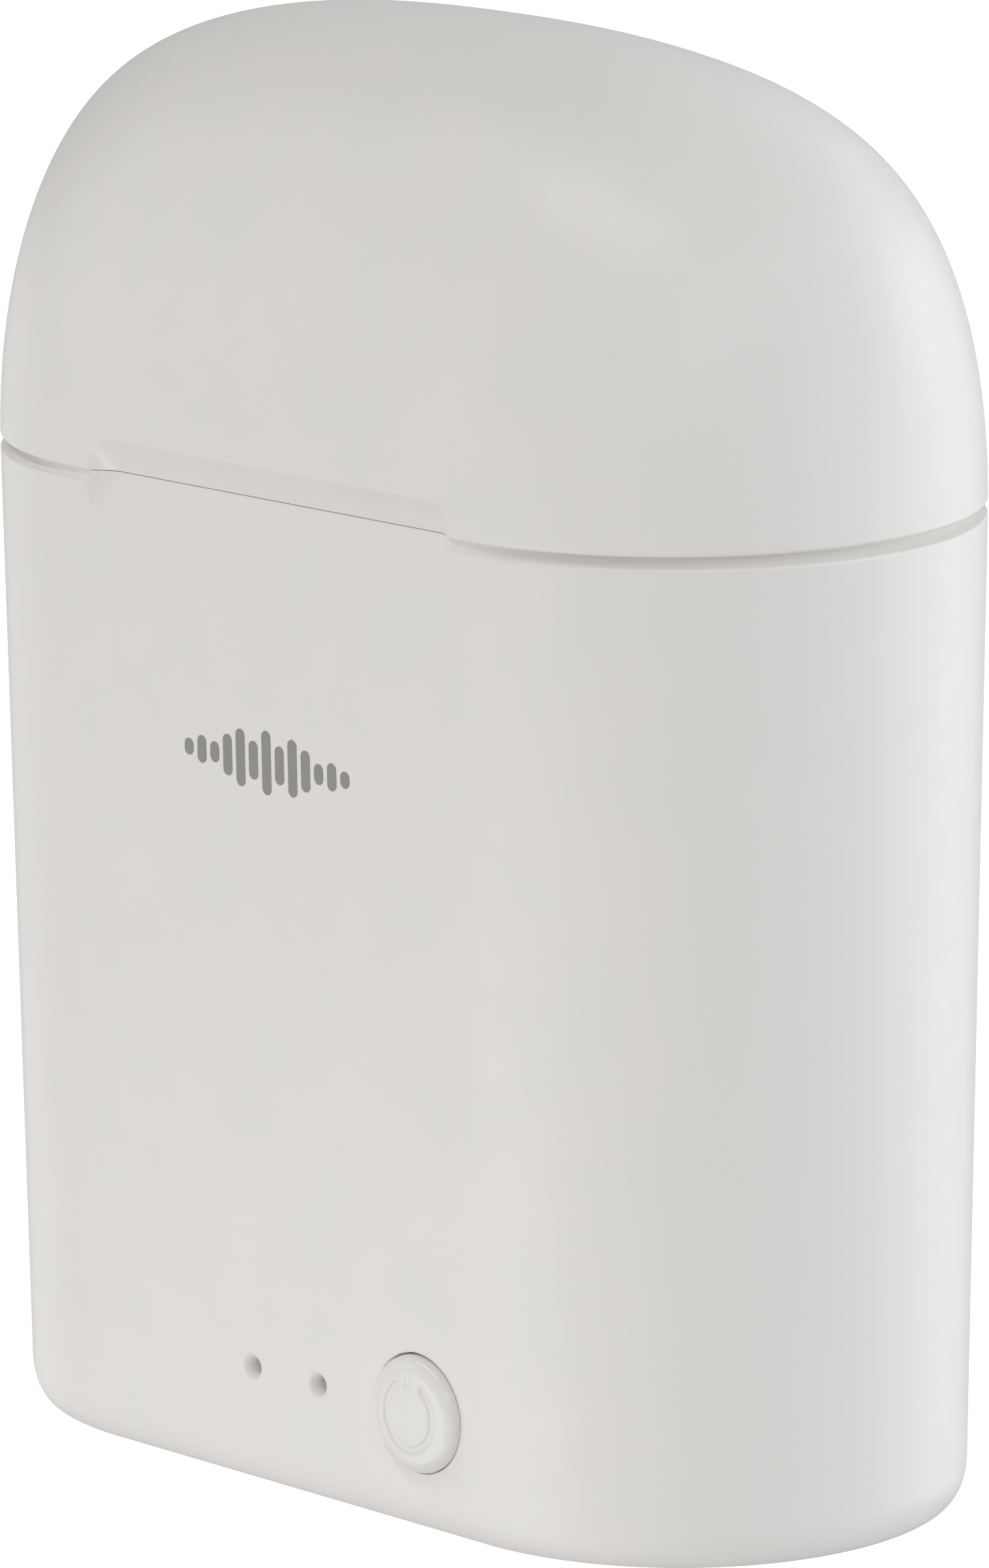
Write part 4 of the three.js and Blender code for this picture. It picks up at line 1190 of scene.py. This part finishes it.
world = bpy.data.worlds.new("studio")
world.use_nodes = True
nodes, links = world.node_tree.nodes, world.node_tree.links
direction = nodes.new("ShaderNodeTexCoord")
parts = nodes.new("ShaderNodeSeparateXYZ")
links.new(direction.outputs["Generated"], parts.inputs["Vector"])
tone = nodes.new("ShaderNodeMapRange")
tone.inputs["From Min"].default_value = -1.0
tone.inputs["From Max"].default_value = 1.0
tone.inputs["To Min"].default_value = WORLD_BELOW
tone.inputs["To Max"].default_value = WORLD_ABOVE
links.new(parts.outputs["Z"], tone.inputs["Value"])
nodes["Background"].inputs["Color"].default_value = (1, 1, 1, 1)
links.new(tone.outputs["Result"], nodes["Background"].inputs["Strength"])
scene.world = world

area_light("right_softbox", 116, 22, 0.7, 0.75, 1.85, tint=COOL)
area_light("right_edge_softbox", 145, 3, 0.6, 0.5, 0.9, aim=LOW_SIDE, tint=COOL)
area_light("back_right_softbox", 172, -4, 0.6, 0.4, 0.42, aim=LOW_SIDE, tint=COOL)
area_light("back_top_softbox", 180, 45, 0.8, 0.6, 0.314)
area_light("camera_softbox", 45, 30, 0.8, 0.5, 0.754)
area_light("left_softbox", -60, 25, 0.6, 0.4, 0.234)
area_light("left_edge_softbox", -95, -12, 0.5, 0.3, 0.16, aim=(0, 0, 0.012))
area_light("high_strip", -20, 58, 0.5, 0.5, 0.45, height=0.06)
area_light("low_card_front", -20, -22, 0.16, 0.12, 0.0653, aim=(0, 0, 0))
area_light("low_card_right", 20, -30, 0.2, 0.2, 0.0807, aim=(0, 0, 0))

scene.view_settings.view_transform = "Standard"
scene.view_settings.look = "None"

CAMERA_AZIMUTH, CAMERA_ELEVATION, CAMERA_ROLL = 45.755, 12.565, -0.388
CAMERA_DISTANCE = 0.39507
CAMERA_TARGET = Vector((0.000441, 0, 0.027316))
SENSOR = 36.0
FOCAL_LENGTH = 225.7

azimuth, elevation, roll = (math.radians(a) for a in (CAMERA_AZIMUTH, CAMERA_ELEVATION, CAMERA_ROLL))
back = Vector((
    math.sin(azimuth) * math.cos(elevation), -math.cos(azimuth) * math.cos(elevation), math.sin(elevation),
))
right = Vector((math.cos(azimuth), math.sin(azimuth), 0))
up = back.cross(right)
across = math.cos(roll) * right + math.sin(roll) * up
upright = -math.sin(roll) * right + math.cos(roll) * up
lens = bpy.data.cameras.new("camera")
lens.sensor_fit = "AUTO"
lens.sensor_width = SENSOR
lens.lens = FOCAL_LENGTH
lens.clip_start = 0.01
lens.clip_end = 50
camera = bpy.data.objects.new("camera", lens)
camera.matrix_world = Matrix.Translation(CAMERA_TARGET + back * CAMERA_DISTANCE) @ Matrix(
    (across, upright, back)
).transposed().to_4x4()
scene.collection.objects.link(camera)
scene.camera = camera
